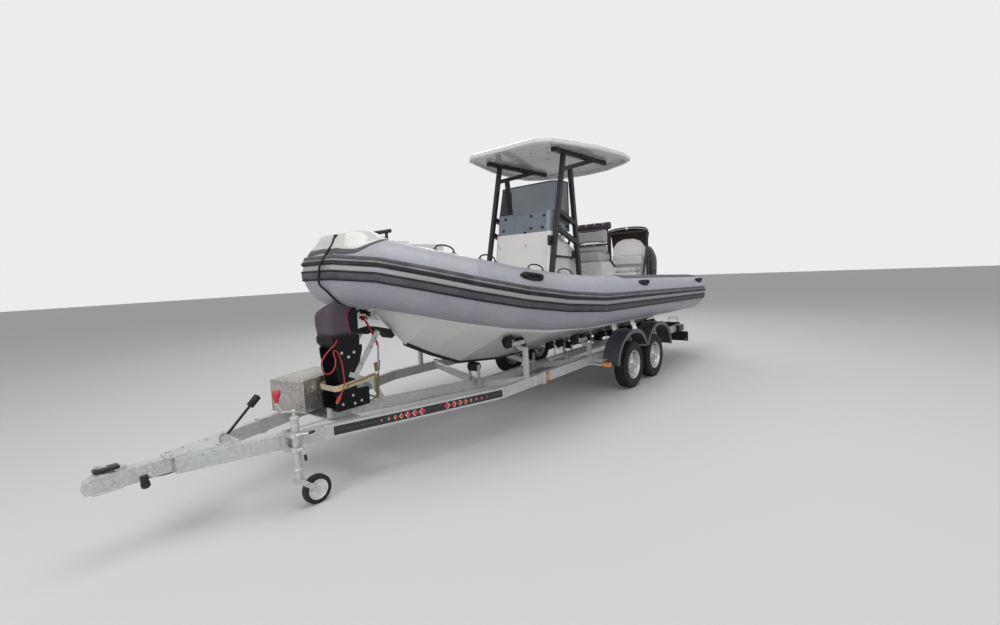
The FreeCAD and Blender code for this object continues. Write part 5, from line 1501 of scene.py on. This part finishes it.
def make_cushions():
    seat = puffed("helm_seat_pad", (-720, -285, 1640.5), (-290, 285, 1780), 0.030, 0.020, "cushion_grey")
    puffed("helm_back_pad", (-590, -285, 1916), (-482, 285, 2125), 0.026, 0.016, "cushion_grey")
    puffed("helm_lower_pad", (-585, -285, 1784), (-488, 285, 1886), 0.024, 0.014, "cushion_grey")
    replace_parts(seat, "helm_cushions")
    rest = puffed("aft_back_pad", (-1959.5, -300, 1554), (-1866, 300, 1755), 0.024, 0.015, "cushion_grey")
    puffed("aft_seat_pad", (-1870, -295, 1450.5), (-1552, 295, 1530), 0.022, 0.015, "cushion_pale")
    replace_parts(rest, "aft_cushions")
    for name, x0, x1, z, w in (("helm_seat_welt", -712, -298, 1768, 276),
                               ("aft_seat_welt", -1862, -1560, 1520, 286)):
        welt(name, [at(x0, -w, z), at(x1, -w, z), at(x1, w, z), at(x0, w, z)], 0.035)
    for name, x, z0, z1, w in (("helm_back_welt", -490, 1924, 2117, 276),
                               ("helm_lower_welt", -495, 1791, 1879, 276),
                               ("aft_back_welt", -1873, 1562, 1747, 291)):
        welt(name, [at(x, -w, z0), at(x, w, z0), at(x, w, z1), at(x, -w, z1)], 0.03)


ROLL_MID = (-590, 0, 2178)


def make_seat_trim():
    """Band and frame behind the helm cushions, hatches and the rolled cover with its straps."""
    bm = bmesh.new()
    block(bm, at(-600, -296, 1888), at(-500, 296, 1914), 0, 0.006, 2)
    for y in (-230.0, -80.0, 80.0, 230.0):
        turned(bm, [(0.0, 0.006), (0.008, 0.005), (0.010, 0.0)], at(-500, y, 1901), ALONG, 1, 16)
    for sign in (1, -1):
        rod(bm, at(-592, sign * 300, 1650), at(-592, sign * 300, 2100), 0.014, 0, 16)
        rod(bm, at(-592, sign * 300, 1662), at(-740, sign * 300, 1560), 0.012, 0, 14)
        block(bm, at(-640, sign * 291 - 4, 1180), at(-420, sign * 291 + 4, 1480), 2, 0.004, 2)
        block(bm, at(-436, sign * 294 - 5, 1310), at(-424, sign * 294 + 5, 1350), 1, 0.002, 2)
    rod(bm, at(-592, -306, 1776), at(-592, 306, 1776), 0.012, 0, 14)
    block(bm, at(-306, -200, 1230), at(-292, 200, 1560), 2, 0.004, 2)
    block(bm, at(-295, -30, 1500), at(-284, 30, 1530), 1, 0.003, 2)
    finish("helm_seat_trim", bm, ["black_plastic", "bright_metal", "gelcoat_white"])
    bm = bmesh.new()
    middle = at(*ROLL_MID)
    end = [(0.0, 0.306), (0.030, 0.306), (0.049, 0.302), (0.055, 0.292)]
    profile = [(r, -y) for r, y in end]
    for k in range(41):
        bulge = 0.0545 + 0.0022 * math.sin(k * 1.9) + 0.0016 * math.sin(k * 0.7 + 1.0)
        # Every tenth place is drawn in by a strap
        profile.append((bulge - (0.005 if k % 10 == 5 else 0.0), -0.284 + 0.0142 * k))
    profile += end[::-1]
    turned(bm, profile, middle, ACROSS, 0, 36)
    for vert in bm.verts:
        out = Vector((vert.co.x - middle.x, 0, vert.co.z - middle.z))
        if out.length > 0.04:
            a = math.atan2(out.z, out.x)
            vert.co += out.normalized() * (0.0022 * math.sin(5 * a + vert.co.y * 26.0))
    roll = finish("seat_cover_roll", bm, ["cover_fabric"], crease=60.0)
    bm = bmesh.new()
    for y in (-213.0, -71.0, 71.0, 213.0):
        turned(bm, [(0.0495, -0.012), (0.0515, -0.012), (0.0515, 0.012), (0.0495, 0.012)],
               middle + ACROSS * (y * MM), ACROSS, 0, 36)
        block(bm, at(-548, y - 14, 2196), at(-538, y + 14, 2212), 1, 0.003, 2)
    out = Vector((math.cos(math.radians(62.0)), 0, math.sin(math.radians(62.0))))
    for k in range(7):
        turned(bm, [(0.0, 0.003), (0.005, 0.0025), (0.007, 0.0), (0.007, -0.003)],
               middle + out * 0.0575 + ACROSS * (0.083 * k - 0.250), out, 1, 14)
    finish("cover_straps", bm, ["black_webbing", "bright_metal"])


def make_stern_trim():
    """Arch lamp, rail ends and feet, and the door of the aft seat."""
    bm = bmesh.new()
    for y in (-360.0, 360.0):
        block(bm, at(-1945, y - 34, DECK_Z + 0.5), at(-1855, y + 34, DECK_Z + 8), 0, 0.003)
        block(bm, at(-1612, y - 32, DECK_Z + 0.5), at(-1532, y + 32, DECK_Z + 8), 0, 0.003)
        for x, dy in ((-1900, 24), (-1572, 22)):
            bolts(bm, product((x - 30, x + 30), (y + dy,), (DECK_Z + 8,)), UP, 0.011, 0.007, 1)
        block(bm, at(-1920, y - 20, 2128), at(-1880, y + 20, 2170), 0, 0.008, 3)
    rod(bm, at(-1900, 0, 2160), at(-1900, 0, 2212), 0.012, 0, 16)
    turned(bm, [(0.0, 0.052), (0.014, 0.050), (0.022, 0.042), (0.023, 0.010), (0.026, 0.008), (0.026, 0.0),
                (0.012, -0.004)], at(-1900, 0, 2205), UP, 2, 24)
    finish("arch_trim", bm, ["black_plastic", "bright_metal", "lamp_glass"])
    bm = bmesh.new()
    block(bm, at(-1565, -240, 1120), at(-1552, 240, 1400), 0, 0.004, 2)
    block(bm, at(-1556, -28, 1345), at(-1545, 28, 1372), 1, 0.003, 2)
    finish("aft_seat_trim", bm, ["gelcoat_white", "black_plastic"])


make_cushions()
make_seat_trim()
make_stern_trim()


# Rings of the winch's cover: height, back and front X, half width, and X of the piping on its sides
COVER_RINGS = ((1101, 3745, 3990, 115.5, 3829), (1108, 3743, 3991, 117, 3829), (1124, 3741, 3992, 118, 3830),
               (1150, 3738, 3993, 120, 3834), (1185, 3738, 3996, 122, 3841), (1225, 3738, 3998, 123, 3850),
               (1262, 3738, 3998, 124, 3851), (1300, 3740, 3996, 124, 3835), (1330, 3742, 3990, 122, 3795),
               (1352, 3746, 3980, 119, 3768), (1366, 3752, 3962, 112, 3764), (1374, 3766, 3930, 92, 3780))


def cover_ring(z, back, front, half, piping):
    """Port half of one ring, from the middle of the back to the middle of the front."""
    side = (piping + front - 14) / 2
    return [at(x, y, z) for x, y in (
        (back, 0), (back, 0.45 * half), (back + 6, 0.88 * half), (back + 24, half),
        ((back + 24 + piping) / 2, half + 1), (piping - 5, half + 1), (piping + 5, half + 1),
        (side, half + 2),
        (front - 14, half), (front - 3, 0.91 * half), (front + 3, 0.45 * half), (front + 4, 0))]


def cover_fold(p):
    """Height of the folds that run down from where the cover is drawn up under the tube."""
    away = Vector((p.y - 0.085, p.z - 1.385))
    fan = math.atan2(away.x, -away.y)
    reach = min(1.0, away.length / 0.20)
    fold = math.sin(7.0 * fan + 0.8) + 0.6 * math.sin(15.0 * fan + 2.0)
    low = max(0.0, min(1.0, (p.z - 1.104) / 0.05))
    return 0.0085 * fold * reach * (1.15 - reach) * low


HEM_Z, UNDER_TUBE_Z = 1.122, 1.22


def make_winch_cover():
    """Fabric bag drawn over the winch: grey front, dark sides, piped edges and a hem."""
    bm = bmesh.new()
    loops = []
    for row in COVER_RINGS:
        ring = closed(cover_ring(*row))
        # The top sags towards starboard, away from where it is drawn up
        droop = max(0.0, min(1.0, (row[0] - 1225) / 149.0))
        for p in ring:
            p.z -= droop * (0.062 * max(0.0, 0.3 - p.y / 0.12) / 1.3 + 0.004)
        loops.append(loop_of(bm, ring))
    for low, high in zip(loops, loops[1:]):
        for face in bmesh.ops.bridge_loops(bm, edges=low[1] + high[1])["faces"]:
            middle = face.calc_center_median()
            row = min(COVER_RINGS, key=lambda r: abs(r[0] - middle.z * 1000))
            face.material_index = 2 if middle.z < HEM_Z else int(middle.x < at(row[4], 0, 0).x)
    bmesh.ops.contextual_create(bm, geom=loops[-1][0])
    bmesh.ops.subdivide_edges(bm, edges=bm.edges[:], cuts=2, smooth=0.6, use_grid_fill=True)
    bm.normal_update()
    for vert in bm.verts:
        vert.co += vert.normal * cover_fold(vert.co)
        if vert.co.z > UNDER_TUBE_Z:
            outside, base = hug(vert.co, 0.002), hug(vert.co, 0.0)
            if (vert.co - base).dot(outside - base) < 0.0:
                vert.co = outside
    piece = finish("winch_cover_bag", bm, ["cover_fabric", "cover_side", "cover_hem"], crease=80.0)
    smoothed(piece)
    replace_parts(piece, "winch_cover")
    for hand, sign in HANDS:
        spots = [at(piping, sign * (half + 3), z) for z, _, _, half, piping in COVER_RINGS[1:-1]]
        line("cover_piping_" + hand, spots, 0.0034, "red_webbing")
    middle = at(3866, 0, 1120)
    hem = [p + (p - middle).normalized() * 0.0012 for p in cover_ring(1120, 3741, 3992, 118.5, 3830)]
    line("cover_drawcord", closed(hem), 0.0030, "black_rope", cyclic=True)


def make_winch_plates():
    """Bolts, edge lips, spacer nuts and the tray's pressed rim."""
    bm = bmesh.new()
    small = ((3913, 966), (3801, 956), (3854, 925), (3838, 604), (3934, 551), (3825, 534), (3761, 544))
    large = ((3690, 715), (3568, 1090), (3830, 775), (3560, 515))
    bolts(bm, [(x, 110, z) for x, z in small], ACROSS, 0.016)
    bolts(bm, [(x, 126, z) for x, z in large], ACROSS, 0.019, 0.011)
    for x, z in ((3590, 1046), (3640, 975), (3740, 850), (3760, 724), (3610, 590)):
        rod(bm, at(x, 119, z), at(x, 122.6, z), 0.0065, 1, 14)
    mirror_y(bm)
    finish("winch_bolts", bm, ["bright_metal", "black_steel"])
    bm = bmesh.new()
    rim = ((3753, 1101), (3753, 1034), (3760, 1027), (3955, 1027), (3986, 1058), (3986, 1101))
    for y in (-117.5, 117.5):
        strap(bm, [at(x, y, z) for x, z in rim], 0.006, 0.0035, ACROSS)
    finish("winch_rim", bm, ["black_steel"])


def webbing(name, materials, rows):
    """Straps as one piece: each row has a path, width, thickness, the way across and the material."""
    bm = bmesh.new()
    for path, width, thick, across, index in rows:
        strap(bm, [at(*p) for p in path], width, thick, across, index)
    finish(name, bm, materials)


def make_tie_downs():
    """Webbing that holds the bow to the winch post and the beam."""
    port = [(3625, 132, 731), (3800, 131, 712), (3975, 127, 693), (3995, 108, 690), (4000, 0, 690)]
    loop = port + [(x, -y, z) for x, y, z in reversed(port[:-1])]
    webbing("post_webbing", ["tan_webbing", "tan_dark"], [
        (loop, 0.047, 0.0028, (0.05, 0, 1), 0),
        (((3635, 134.5, 742), (3760, 134, 722), (3905, 131.5, 704)), 0.012, 0.0018, (0.05, 0, 1), 1)]
        + [(((x, 135.5, z + 51), (x, 135.5, z)), 0.010, 0.0012, ALONG, 1)
           for x, z in ((3630, 706), (3895, 671.55))])
    webbing("bow_webbing_red", ["red_webbing"], [
        (((3668, 20, 1228), (3640, 32, 1222), (3612, 30, 1204)), 0.026, 0.003, (0, 0.3, 1), 0),
        (((3643, 40, 1236), (3628, 62, 1180), (3604, 92, 1100), (3584, 126, 1010), (3580, 134, 972)),
         0.026, 0.003, (1, 0.3, 0), 0),
        (((3655, 40, 1222), (3628, 40, 1216), (3606, 34, 1210)), 0.034, 0.006, UP, 0)])
    webbing("bow_webbing_tail", ["grey_webbing", "tan_dark"], [
        (((3580, 136, 985), (3586, 138, 900), (3594, 139, 815), (3600, 139, 742)), 0.022, 0.0026,
         (1, 0.3, 0), 0),
        (((3604, 137, 742), (3612, 140, 640), (3618, 132, 545), (3622, 60, 512)), 0.030, 0.0026, ALONG, 1)]
        + [(((3566 + 3 * k, 130, z + 9), (3596, 138 + k, z), (3630 - 2 * k, 130, z - 6)), 0.017, 0.010, UP, 1)
           for k, z in enumerate((832, 812, 794, 774))])
    webbing("winch_strap", ["black_webbing"], [
        (((3744, 60, 1262), (3662, 24, 1290), (3605, 8, 1268), (3545, 4, 1250)), 0.022, 0.003, (0, 0.2, 1),
         0)])


def make_snap_hook():
    """Snap hook on the bow eye, with its ratchet, and the eye."""
    bm = bmesh.new()
    block(bm, at(3590, -12, 1252), at(3640, 34, 1286), 0, 0.006, 2)
    rod(bm, at(3618, 34, 1270), at(3618, 52, 1270), 0.016, 0, 18)
    rod(bm, at(3600, 10, 1262), at(3572, 8, 1238), 0.011, 0, 14)
    rod(bm, at(3572, 8, 1238), at(3548, 6, 1226), 0.009, 0, 14)
    block(bm, at(3604, 14, 1198), at(3650, 50, 1218), 0, 0.004, 2)
    rod(bm, at(3628, 10, 1206), at(3628, 54, 1206), 0.010, 1, 16)
    finish("bow_snap_hook", bm, ["black_steel", "bright_metal"])
    bm = bmesh.new()
    eye = at(3534, 0, 1236)
    turned(bm, [(0.016, -0.006), (0.022, -0.0055), (0.0275, 0.0), (0.022, 0.0055), (0.016, 0.006),
                (0.0125, 0.0), (0.016, -0.006)], eye, ACROSS, 0, 28)
    block(bm, at(3500, -24, 1212), at(3512, 24, 1262), 0, 0.004, 2)
    rod(bm, at(3508, 0, 1236), at(3526, 0, 1236), 0.008, 0, 14)
    finish("bow_eye", bm, ["bright_metal"])


make_winch_cover()
make_winch_plates()
make_tie_downs()
make_snap_hook()


# Middle of the jockey stand, and its two clamping levers: jaw's height and the lever's bends
STAND = (4475, 395)
LEVERS = ((530, ((4468, 437, 533), (4430, 450, 530), (4388, 456, 531))),
          (428, ((4466, 436, 429), (4452, 452, 408), (4449, 456, 366))))


def make_jockey_trim():
    """Clamp jaws with their clamping levers, on the stand's bracket."""
    bm = bmesh.new()
    x = STAND[0]
    for z, bends in LEVERS:
        for side in (-1, 1):
            ends = [(x + side * 33, 340), (x + side * 33, 404), (x + side * 20, 424), (x, 430)]
            strap(bm, [at(a, b, z) for a, b in ends], 0.034, 0.006, UP)
        block(bm, at(x - 12, 426, z - 17), at(x + 12, 444, z + 17), 0, 0.003, 2)
        turned(bm, [(0.0, 0.020), (0.010, 0.020), (0.014, 0.016), (0.014, -0.016), (0.010, -0.020),
                    (0.0, -0.020)],
               at(x, 438, z), ALONG, 0, 20)
        root, elbow, tip = (at(*bend) for bend in bends)
        rod(bm, root, elbow, 0.0055, 1, 14)
        ball(bm, elbow, 0.0056, 1)
        rod(bm, elbow, tip, 0.0055, 1, 14)
        turned(bm, [(0.0, -0.002), (0.0075, 0.0), (0.0095, 0.010), (0.0105, 0.024), (0.0085, 0.040),
                    (0.004, 0.046), (0.0, 0.047)], elbow.lerp(tip, 0.35), tip - elbow, 2, 20)
    bolts(bm, product((4427, 4513), (344,), (448, 482, 548)), ACROSS, 0.013, 0.008, 1)
    for a in (4432, 4518):
        strap(bm, [at(a, 330, 552), at(a, 330, 416)], 0.010, 0.006, ALONG)
    finish("jockey_jaws", bm, ["galvanised", "bright_metal", "black_plastic"])


def make_jockey_stand():
    """Collars, crank joints and the red grip, which rise with the stand."""
    bm = bmesh.new()
    for z, profile in (
            (638, [(0.0265, -0.008), (0.029, -0.006), (0.029, 0.010), (0.024, 0.014), (0.014, 0.018),
                   (0.012, 0.040), (0.014, 0.044), (0.014, 0.056), (0.008, 0.062), (0.0, 0.063)]),
            (272, [(0.026, 0.0), (0.0285, 0.002), (0.0285, 0.020), (0.026, 0.024)]),
            (585, [(0.026, 0.0), (0.0275, 0.002), (0.0275, 0.012), (0.026, 0.014)])):
        turned(bm, profile, at(*STAND, z), UP)
    ball(bm, at(4547, 395, 700), 0.0095, 0)
    ball(bm, at(4580, 395, 762), 0.0085, 0)
    rod(bm, at(4470, 370, 684), at(4470, 420, 684), 0.005, 0, 12)
    turned(bm, [(0.0, 0.0865), (0.016, 0.086), (0.0225, 0.081), (0.0262, 0.072), (0.0265, 0.060),
                (0.0245, 0.048),
                (0.0205, 0.036), (0.0155, 0.026), (0.0145, 0.012), (0.0130, 0.003), (0.0085, 0.0),
                (0.0, -0.001)],
           at(4580, 395, 768), (0, 0.05, 1), 1, 32)
    finish("jockey_crank", bm, ["galvanised", "red_plastic"], body="jockey_stand")


def make_jockey_wheel_trim():
    """Tread ribs, rim and hub of the small wheel, and its fork's axle."""
    bm = bmesh.new()
    centre = at(4357, 395, 101.5)
    tread = [(0.0690, 0.0), (0.0700, -0.0225), (0.0725, -0.0255), (0.0800, -0.0262), (0.0950, -0.0245),
             (0.0985, -0.0225), (0.1012, -0.0150), (0.1014, -0.0105), (0.0996, -0.0090), (0.0996, -0.0075),
             (0.1015, -0.0060)]
    disc = [(0.0702, -0.0240), (0.0660, -0.0245), (0.0640, -0.0200), (0.0610, -0.0095), (0.0360, -0.0120),
            (0.0320, -0.0260), (0.0150, -0.0262), (0.0110, -0.0240), (0.0100, -0.0200)]
    for index, steps, half in ((0, 64, tread), (1, 48, disc)):
        profile = half + [(r, -y) for r, y in reversed(half)]
        turned(bm, profile + ([profile[0]] if index else []), centre, ACROSS, index, steps)
    for k, side in product(range(6), (-1, 1)):
        t = k * math.pi / 3
        out = Vector((math.cos(t), 0, math.sin(t)))
        inner = centre + out * 0.033 + ACROSS * (side * 0.0135)
        rod(bm, inner, centre + out * 0.0625 + ACROSS * (side * 0.0105), 0.0032, 1, 10)
    piece = finish("jockey_roller_wheel", bm, ["black_rubber", "dial_marks"], body="jockey_roller")
    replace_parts(piece, "jockey_wheel")
    bm = bmesh.new()
    for side in (-1, 1):
        hexagon(bm, at(4357, 395 + side * 37, 101.5), (0, side, 0), 0.017, 0.010, 0)
    turned(bm, [(0.0, 0.0), (0.030, 0.0), (0.034, 0.002), (0.034, 0.005), (0.028, 0.007), (0.021, 0.0075)],
           at(*STAND, 209), UP, 1)
    finish("jockey_axle", bm, ["bright_metal", "galvanised"], body="jockey_castor")


def make_lever_trim():
    """Ribbed black grip and release button on the parking brake's lever."""
    bm = bmesh.new()
    foot, away = at(4612, 55, 708), (-0.72, 0, 0.69)
    ribs = [(0.0243 if k % 2 else 0.0254, 0.012 + 0.007 * k) for k in range(9)]
    turned(bm, [(0.0, -0.002), (0.018, -0.002), (0.0246, 0.003)] + ribs
           + [(0.0246, 0.077), (0.020, 0.0825), (0.0, 0.083)], foot, away)
    turned(bm, [(0.0, 0.0895), (0.007, 0.0885), (0.0085, 0.086), (0.0085, 0.080)], foot, away, 1, 20)
    for side in (-1, 1):
        hexagon(bm, at(4785, 55 + side * 11, 540), (0, side, 0), 0.016, 0.006, 2)
    finish("lever_grip", bm, ["black_rubber", "red_plastic", "bright_metal"], body="parking_lever")


def make_toolbox_trim():
    """Rolled edges and latches of the chequer-plate box and its lid, built in the box's own corner."""
    corner = Matrix.Translation(at(4150, -85, 506)) @ Matrix.Rotation(math.atan2(758.0, 2330.0), 4, "Z")
    bm = bmesh.new()
    sides, ends = (-0.3405, 0.0005), (-0.5005, 0.0005)
    for x, y in product(ends, sides):
        block(bm, (x - 0.004, y - 0.004, 0.002), (x + 0.004, y + 0.004, 0.231), 0, 0.003, 2)
    for z0, z1 in ((0.222, 0.2335), (0.000, 0.010)):
        for y in sides:
            block(bm, (-0.5, y - 0.003, z0), (0.0, y + 0.003, z1), 0, 0.002, 2)
        for x in ends:
            block(bm, (x - 0.003, -0.34, z0), (x + 0.003, 0.0, z1), 0, 0.002, 2)
    for x in (-0.39, -0.11):
        block(bm, (x - 0.022, 0.000, 0.150), (x + 0.022, 0.006, 0.205), 1, 0.003, 2)
        rod(bm, (x - 0.014, 0.008, 0.198), (x + 0.014, 0.008, 0.198), 0.004, 1, 12)
        for dx, z in product((-0.015, 0.015), (0.158, 0.184)):
            ball(bm, (x + dx, 0.006, z), 0.0028, 1, (1, 0.6, 1), 6)
    bmesh.ops.transform(bm, matrix=corner, verts=bm.verts)
    finish("toolbox_edges", bm, ["checker_plate", "bright_metal"])
    bm = bmesh.new()
    for x in (-0.504, 0.004):
        block(bm, (x - 0.002, -0.344, 0.236), (x + 0.002, 0.004, 0.2625), 0, 0.0015, 2)
    for y in (-0.344, 0.004):
        block(bm, (-0.504, y - 0.002, 0.236), (0.004, y + 0.002, 0.2625), 0, 0.0015, 2)
    for x in (-0.39, -0.11):
        block(bm, (x - 0.013, 0.004, 0.214), (x + 0.013, 0.010, 0.258), 1, 0.002, 2)
        block(bm, (x - 0.016, 0.006, 0.200), (x + 0.016, 0.012, 0.222), 1, 0.003, 2)
    block(bm, (-0.46, -0.31, 0.2605), (-0.04, -0.03, 0.2645), 0, 0.0035, 2)
    bmesh.ops.transform(bm, matrix=corner, verts=bm.verts)
    finish("toolbox_lid_edges", bm, ["checker_plate", "bright_metal"], body="box_lid")


make_jockey_trim()
make_jockey_stand()
make_jockey_wheel_trim()
make_lever_trim()
make_toolbox_trim()


# Rings of the outboard's cowl: height, back and front X, half width and how far the wall is drawn in
COWL_RINGS = ((1213, -2819, -2281, 200, 12), (1222, -2822, -2279, 212, 2), (1296, -2832, -2276, 232, 0),
              (1304, -2832, -2276, 232, 5), (1312, -2832, -2276, 232, 5), (1320, -2833, -2275, 233, 0),
              (1440, -2851, -2268, 238, 0), (1580, -2870, -2262, 238, 0), (1690, -2866, -2286, 236, 0),
              (1790, -2812, -2310, 214, 4), (1860, -2782, -2336, 186, 6), (1905, -2742, -2384, 156, 10),
              (1928, -2660, -2432, 118, 12))


SQUARE = 0.62


def cowl_ring(z, back, front, half, inset):
    """Squarish oval, drawn in more at its front than at its back."""
    ring = []
    middle, reach = (back + front) / 2, (front - back) / 2 - inset
    for k in range(36):
        c, s = math.cos(math.pi * k / 18), math.sin(math.pi * k / 18)
        x = middle + reach * math.copysign(abs(c) ** SQUARE, c)
        pinch = 1.0 - 0.30 * max(0.0, c) ** 2 - 0.16 * max(0.0, -c) ** 2
        ring.append(at(x, (half - inset) * pinch * math.copysign(abs(s) ** SQUARE, s), z))
    return ring


def make_cowl():
    """Cowl over a lower pan, parted by a rubber seal, with an air intake at the back."""
    bm = bmesh.new()
    loops = [loop_of(bm, cowl_ring(*row)) for row in COWL_RINGS]
    for k, (low, high) in enumerate(zip(loops, loops[1:])):
        for face in bmesh.ops.bridge_loops(bm, edges=low[1] + high[1])["faces"]:
            face.material_index = 1 if k == 3 else (2 if k < 3 else 0)
    bmesh.ops.contextual_create(bm, geom=loops[0][0])
    bmesh.ops.contextual_create(bm, geom=loops[-1][0])
    looks = ["engine_paint", "black_rubber", "black_plastic"]
    piece = finish("cowl_shell", bm, looks, body="engine", crease=60.0)
    smoothed(piece)
    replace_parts(piece, "engine_cowl")
    bm = bmesh.new()
    for k in range(5):
        half, z = 92 - 4 * k, 1700 + 20 * k
        block(bm, at(-2868 + 3 * k, -half, z), at(-2846 + 14 * k, half, z + 8), 0, 0.003, 2)
    for side in (-1, 1):
        for x0, x1, z in ((-2640, -2420, 1500), (-2700, -2440, 1420)):
            outer = side * 240 + (0 if side > 0 else 2)
            block(bm, at(x0, side * 240 - 4, z), at(x1, outer, z + 6), 1, 0.0015, 1)
        block(bm, at(-2560, side * 232 - 6, 1286), at(-2500, side * 232 + 6, 1330), 0, 0.004, 2)
    block(bm, at(-2284, -40, 1250), at(-2268, 40, 1275), 0, 0.004, 2)
    rod(bm, at(-2600, 0, 1232), at(-2600, 0, 1200), 0.030, 0, 20)
    finish("cowl_trim", bm, ["black_plastic", "strip_grey"], body="engine")


def make_leg_trim():
    """Bolts, water grilles, anode and trim tab on the engine's leg."""
    bm = bmesh.new()
    for side in (-1, 1):
        spots = ((-2330, 860), (-2550, 860), (-2340, 500), (-2560, 500), (-2450, 690))
        bolts(bm, [(x, side * 54.5, z) for x, z in spots], ACROSS * side, 0.012, 0.008, 1)
        for k in range(6):
            block(bm, at(-2420, side * 29 - 3, 346 + 11 * k), at(-2372, side * 29 + 3, 351 + 11 * k), 0,
                  0.001, 1)
        block(bm, at(-2520, side * 55 - 4, 560), at(-2400, side * 55 + 4, 800), 2, 0.004, 3)
        strap(bm, [at(-2360, side * 57, 640), at(-2330, side * 75, 700), at(-2330, side * 78, 820)], 0.010,
              0.010,
              ACROSS)
    block(bm, at(-2652, -12, 436), at(-2596, 12, 463), 1, 0.004, 2)
    block(bm, at(-2470, -112, 473), at(-2300, 112, 476), 0, 0.001, 1)
    for x in (-2560, -2380):
        turned(bm, [(0.052, 0.0), (0.0545, 0.003), (0.0545, 0.010), (0.052, 0.013)], at(x, 0, 300), ALONG,
               0, 36)
    finish("leg_trim", bm, ["black_plastic", "bright_metal", "engine_paint"], body="engine")
    bm = bmesh.new()
    turned(bm, [(0.0, 0.030), (0.010, 0.028), (0.014, 0.022), (0.016, 0.008), (0.026, 0.004), (0.034, 0.0),
                (0.040, -0.004)], at(-2710, 0, 300), (-1, 0, 0), 1, 28)
    turned(bm, [(0.040, 0.0), (0.0415, 0.002), (0.0415, 0.008), (0.040, 0.010)], at(-2620, 0, 300), ALONG,
           0, 28)
    finish("screw_trim", bm, ["black_plastic", "bright_metal"], body="screw")
    bm = bmesh.new()
    for side in (-1, 1):
        bolts(bm, product((-2252,), (side * 120,), (905, 1000, 1095)), (-1, 0, 0), 0.019, 0.012)
        rod(bm, at(-2205, side * 120, 1140), at(-2165, side * 120, 1190), 0.006, 0, 12)
    finish("clamp_bolts", bm, ["bright_metal"])


COVER_HALF = 352.0


def cover_round(u):
    """How far the cover's top edge falls from the middle out, in millimetres."""
    return 46.0 * abs(u) ** 3.2


def make_stern_cover():
    """Dark cover stretched from a hoop over the arch down behind the dome."""
    half_hoop = ((-372, 2120), (-366, 2172), (-330, 2204), (-200, 2228))
    hoop = half_hoop + ((0, 2236),) + tuple((-y, z) for y, z in reversed(half_hoop))
    line("arch_hoop", [at(-1900, y, z) for y, z in hoop], 0.0125, "black_plastic")
    bm = bmesh.new()
    for vert in bmesh.ops.create_grid(bm, x_segments=24, y_segments=14, size=1.0)["verts"]:
        u, v = vert.co.x, (1.0 - vert.co.y) / 2.0
        half = COVER_HALF * (1.0 - 0.10 * v)
        crown = 2222.0 - cover_round(u)
        z = crown - v * (crown - 1790.0)
        lean = min(1.0, v / 0.34)
        x = -1900.0 - 104.0 * lean * (2.0 - lean) + 2.5 * math.sin(5.0 * u + 3.0 * v) * v
        vert.co = at(x, u * half, z)
    panel = finish("stern_cover", bm, ["stern_cloth"], crease=80.0)
    thick = panel.modifiers.new("thick", "SOLIDIFY")
    thick.thickness = 0.0018
    edge = [at(-1889, u * COVER_HALF, 2216 - cover_round(u))
            for u in (-1, -0.9, -0.7, -0.35, 0, 0.35, 0.7, 0.9, 1)]
    line("stern_cover_piping", edge, 0.005, "cushion_grey")


make_cowl()
make_leg_trim()
make_stern_cover()
